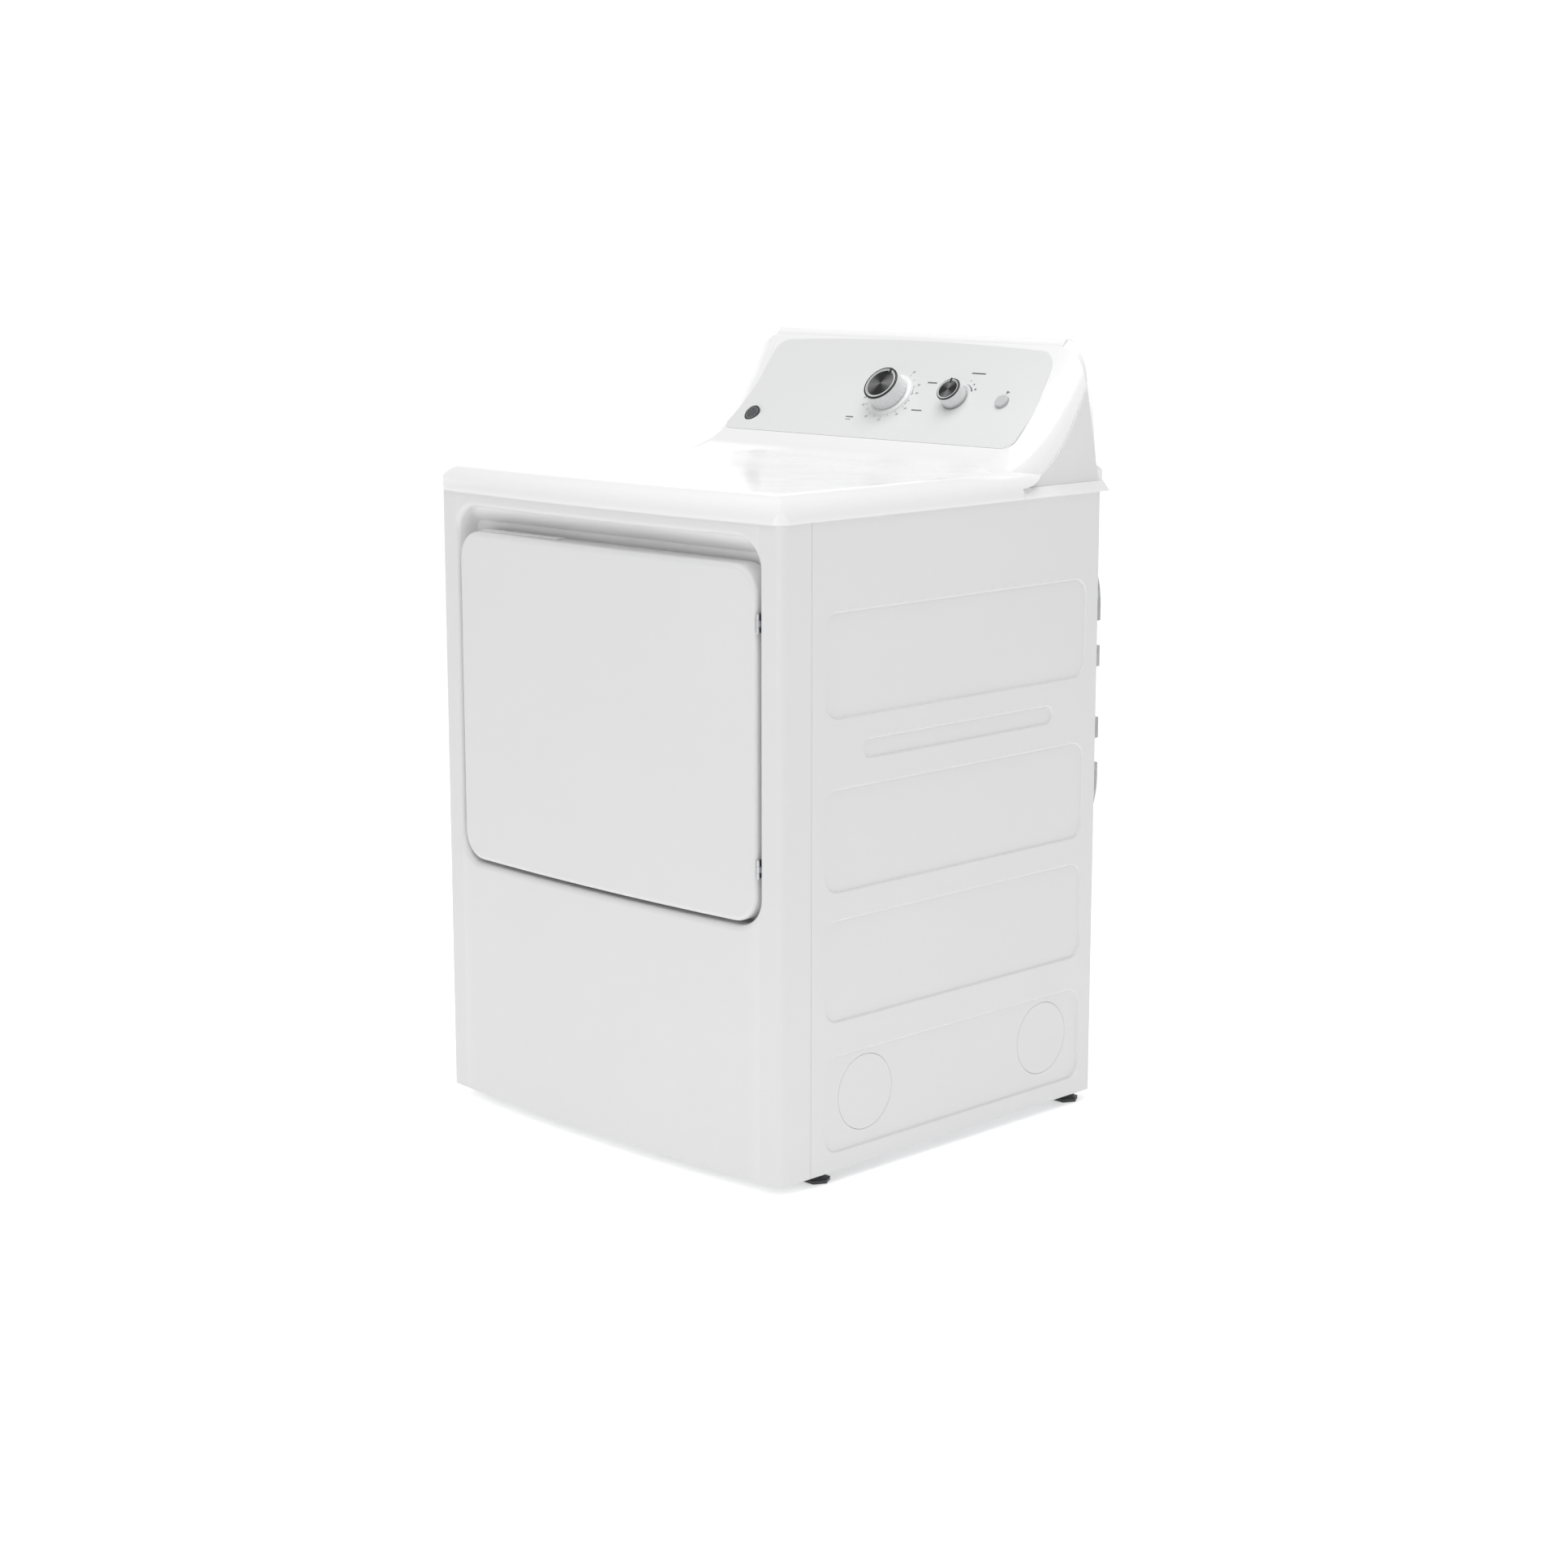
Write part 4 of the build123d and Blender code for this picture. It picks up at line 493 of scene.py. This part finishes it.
def pointer(name, body, place, reach, clock, heights, wide):
    """A raised black pointer with a rounded tip.

    reach gives its two ends out from the axis, and heights its foot and top above the panel.
    """
    mesh = bpy.data.meshes.new(name)
    bm = bmesh.new()
    near, far = reach
    half = wide / 2
    outline = [(-half * 0.7, near), (half * 0.7, near), (half, far - half)]
    outline += [(half * cos(pi * k / 8), far - half + half * sin(pi * k / 8)) for k in range(1, 8)]
    outline += [(-half, far - half)]
    turn = radians(clock)
    centre = on_panel(*place)
    layers = []
    for height, shrink in ((heights[0], 1.0), (heights[1] - 0.0003, 1.0), (heights[1], 0.82)):
        layer = []
        for across, out in outline:
            across = across * shrink
            out = near + (out - near) * (1 - (1 - shrink) * 0.12)
            x = across * cos(turn) + out * sin(turn)
            up = out * cos(turn) - across * sin(turn)
            layer.append(bm.verts.new(centre + Vector((x, 0, 0)) + UP_SLOPE * up + OUT * height))
        layers.append(layer)
    count = len(outline)
    for lower, upper in zip(layers, layers[1:]):
        for k in range(count):
            n = (k + 1) % count
            bm.faces.new((lower[k], lower[n], upper[n], upper[k]))
    bm.faces.new(list(reversed(layers[0])))
    bm.faces.new(layers[-1])
    bmesh.ops.recalc_face_normals(bm, faces=bm.faces)
    bm.to_mesh(mesh)
    bm.free()
    piece = add_object(name, mesh)
    mesh.materials.append(BLACK)
    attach(piece, body)


def add_pointers():
    pointer("timer_pointer", "timer_knob", TIMER, (0.0175, 0.0284), 17, (0.0290, 0.0309), 0.0042)
    pointer("temperature_pointer", "temperature_knob", TEMPERATURE, (0.0115, 0.0194), -8,
            (0.0208, 0.0226), 0.0034)


def add_marks():
    """Plain ticks, numbers, bars, wedges, dots and a triangle round the controls."""
    bars = [radial_bar(TIMER, *TICK, clock, TICK_WIDE) for clock in TICK_CLOCKS]
    bars += arc_wedge(TIMER, 0.0385, 62, 86, 0.0003, 0.0012)
    bars += arc_wedge(TIMER, 0.0385, 96, 112, 0.0003, 0.0012)
    marks_piece("timer_ticks", bars)
    cycles = [flat_bar(-0.046, 0.116, 0.017, BAR), flat_bar(0.070, 0.112, 0.018, BAR),
              flat_bar(0.069, 0.062, 0.020, BAR), flat_bar(-0.050, 0.041, 0.015, BAR),
              flat_bar(-0.050, 0.036, 0.010, 0.0012)]
    marks_piece("cycle_bars", cycles)
    for clock, text in NUMBERS:
        x, t = around(TIMER, NUMBER_RADIUS, clock)
        number("dial_%03d" % clock, text, x, t, NUMBER_TALL)
    heat = arc_wedge(TEMPERATURE, 0.0262, 22, 62, 0.0004, 0.0026)
    heat += [dot(*around(TEMPERATURE, 0.0335, clock), radius)
             for clock, radius in ((24, 0.0010), (42, 0.0014), (60, 0.0018))]
    heat.append(flat_bar(TEMPERATURE[0] + 0.022, TEMPERATURE[1] + 0.043, 0.026, BAR))
    marks_piece("temperature_marks", heat)
    x, t = START[0] + 0.001, START[1] + 0.0175
    marks_piece("start_mark", [[(x - 0.0025, t - 0.003), (x + 0.0035, t), (x - 0.0025, t + 0.003)]])


# ---- camera, light and floor -----------------------------------------------------------------
CAMERA_PLACE = (2.9957, -2.9674, 1.2971)
CAMERA_DOWN = 11.156
CAMERA_TURN = 45.014
CAMERA_LENS = 68.5


def add_camera():
    data = bpy.data.cameras.new("camera")
    camera = add_object("camera", data)
    camera.location = CAMERA_PLACE
    camera.rotation_euler = (radians(90 - CAMERA_DOWN), 0, radians(CAMERA_TURN))
    data.sensor_width = 36
    data.lens = CAMERA_LENS
    data.clip_end = 100
    scene.camera = camera


def area_light(name, place, target, size, power):
    data = bpy.data.lights.new(name, "AREA")
    data.shape = "RECTANGLE"
    data.size, data.size_y = size
    data.energy = power
    light = add_object(name, data)
    light.location = place
    direction = Vector(target) - Vector(place)
    light.rotation_euler = direction.to_track_quat("-Z", "Y").to_euler()


def glowing(name, scale, low, high, rough, strength):
    """Pale studio surface that gives off some light of its own."""
    t = Tree(name)
    t.link(t.ramp(t.noise(scale), low, high), t.shader.inputs["Base Color"])
    t.shader.inputs["Roughness"].default_value = rough
    t.shader.inputs["Emission Color"].default_value = (1, 1, 1, 1)
    t.shader.inputs["Emission Strength"].default_value = strength
    return t.material


def add_studio():
    world = bpy.data.worlds.new("studio")
    world.use_nodes = True
    background = world.node_tree.nodes["Background"]
    background.inputs["Color"].default_value = (1, 1, 1, 1)
    background.inputs["Strength"].default_value = 0.41
    scene.world = world
    area_light("overhead", (0.3, -0.4, 3.6), (0, 0, 0.8), (3.0, 3.0), 66)
    area_light("low_fill", (0.9, -3.2, 0.4), (0, -0.3, 0.9), (2.0, 0.7), 4)
    area_light("right_soft", (2.4, -1.8, 3.2), (0, 0, 0.9), (1.6, 1.6), 13)
    scene.view_settings.view_transform = "Standard"
    bpy.ops.mesh.primitive_plane_add(size=60, location=(0, 0, -0.0005))
    floor = bpy.context.object
    floor.name = "floor"
    floor.data.materials.append(glowing("pale_floor", 2.0, 0.93, 0.95, 0.8, 0.45))
    add_backdrop()


def add_backdrop():
    """A tall pale wall far behind the object, bowed towards the camera at its sides."""
    mesh = bpy.data.meshes.new("backdrop")
    bm = bmesh.new()
    columns = []
    for k in range(25):
        across = -24 + 2 * k
        back = 14 - 0.012 * across ** 2
        spot = Vector((-0.7071, 0.7071, 0)) * back + Vector((0.7071, 0.7071, 0)) * across
        columns.append([bm.verts.new((spot.x, spot.y, z)) for z in (-0.01, 4.0, 9.0)])
    for left, right in zip(columns, columns[1:]):
        for a in range(2):
            bm.faces.new((left[a], right[a], right[a + 1], left[a + 1]))
    bm.to_mesh(mesh)
    bm.free()
    wall = add_object("backdrop", mesh)
    mesh.materials.append(glowing("pale_backdrop", 0.8, 0.90, 0.93, 0.9, 0.6))


dress_nodes()
add_marks()
add_pointers()
add_camera()
add_studio()
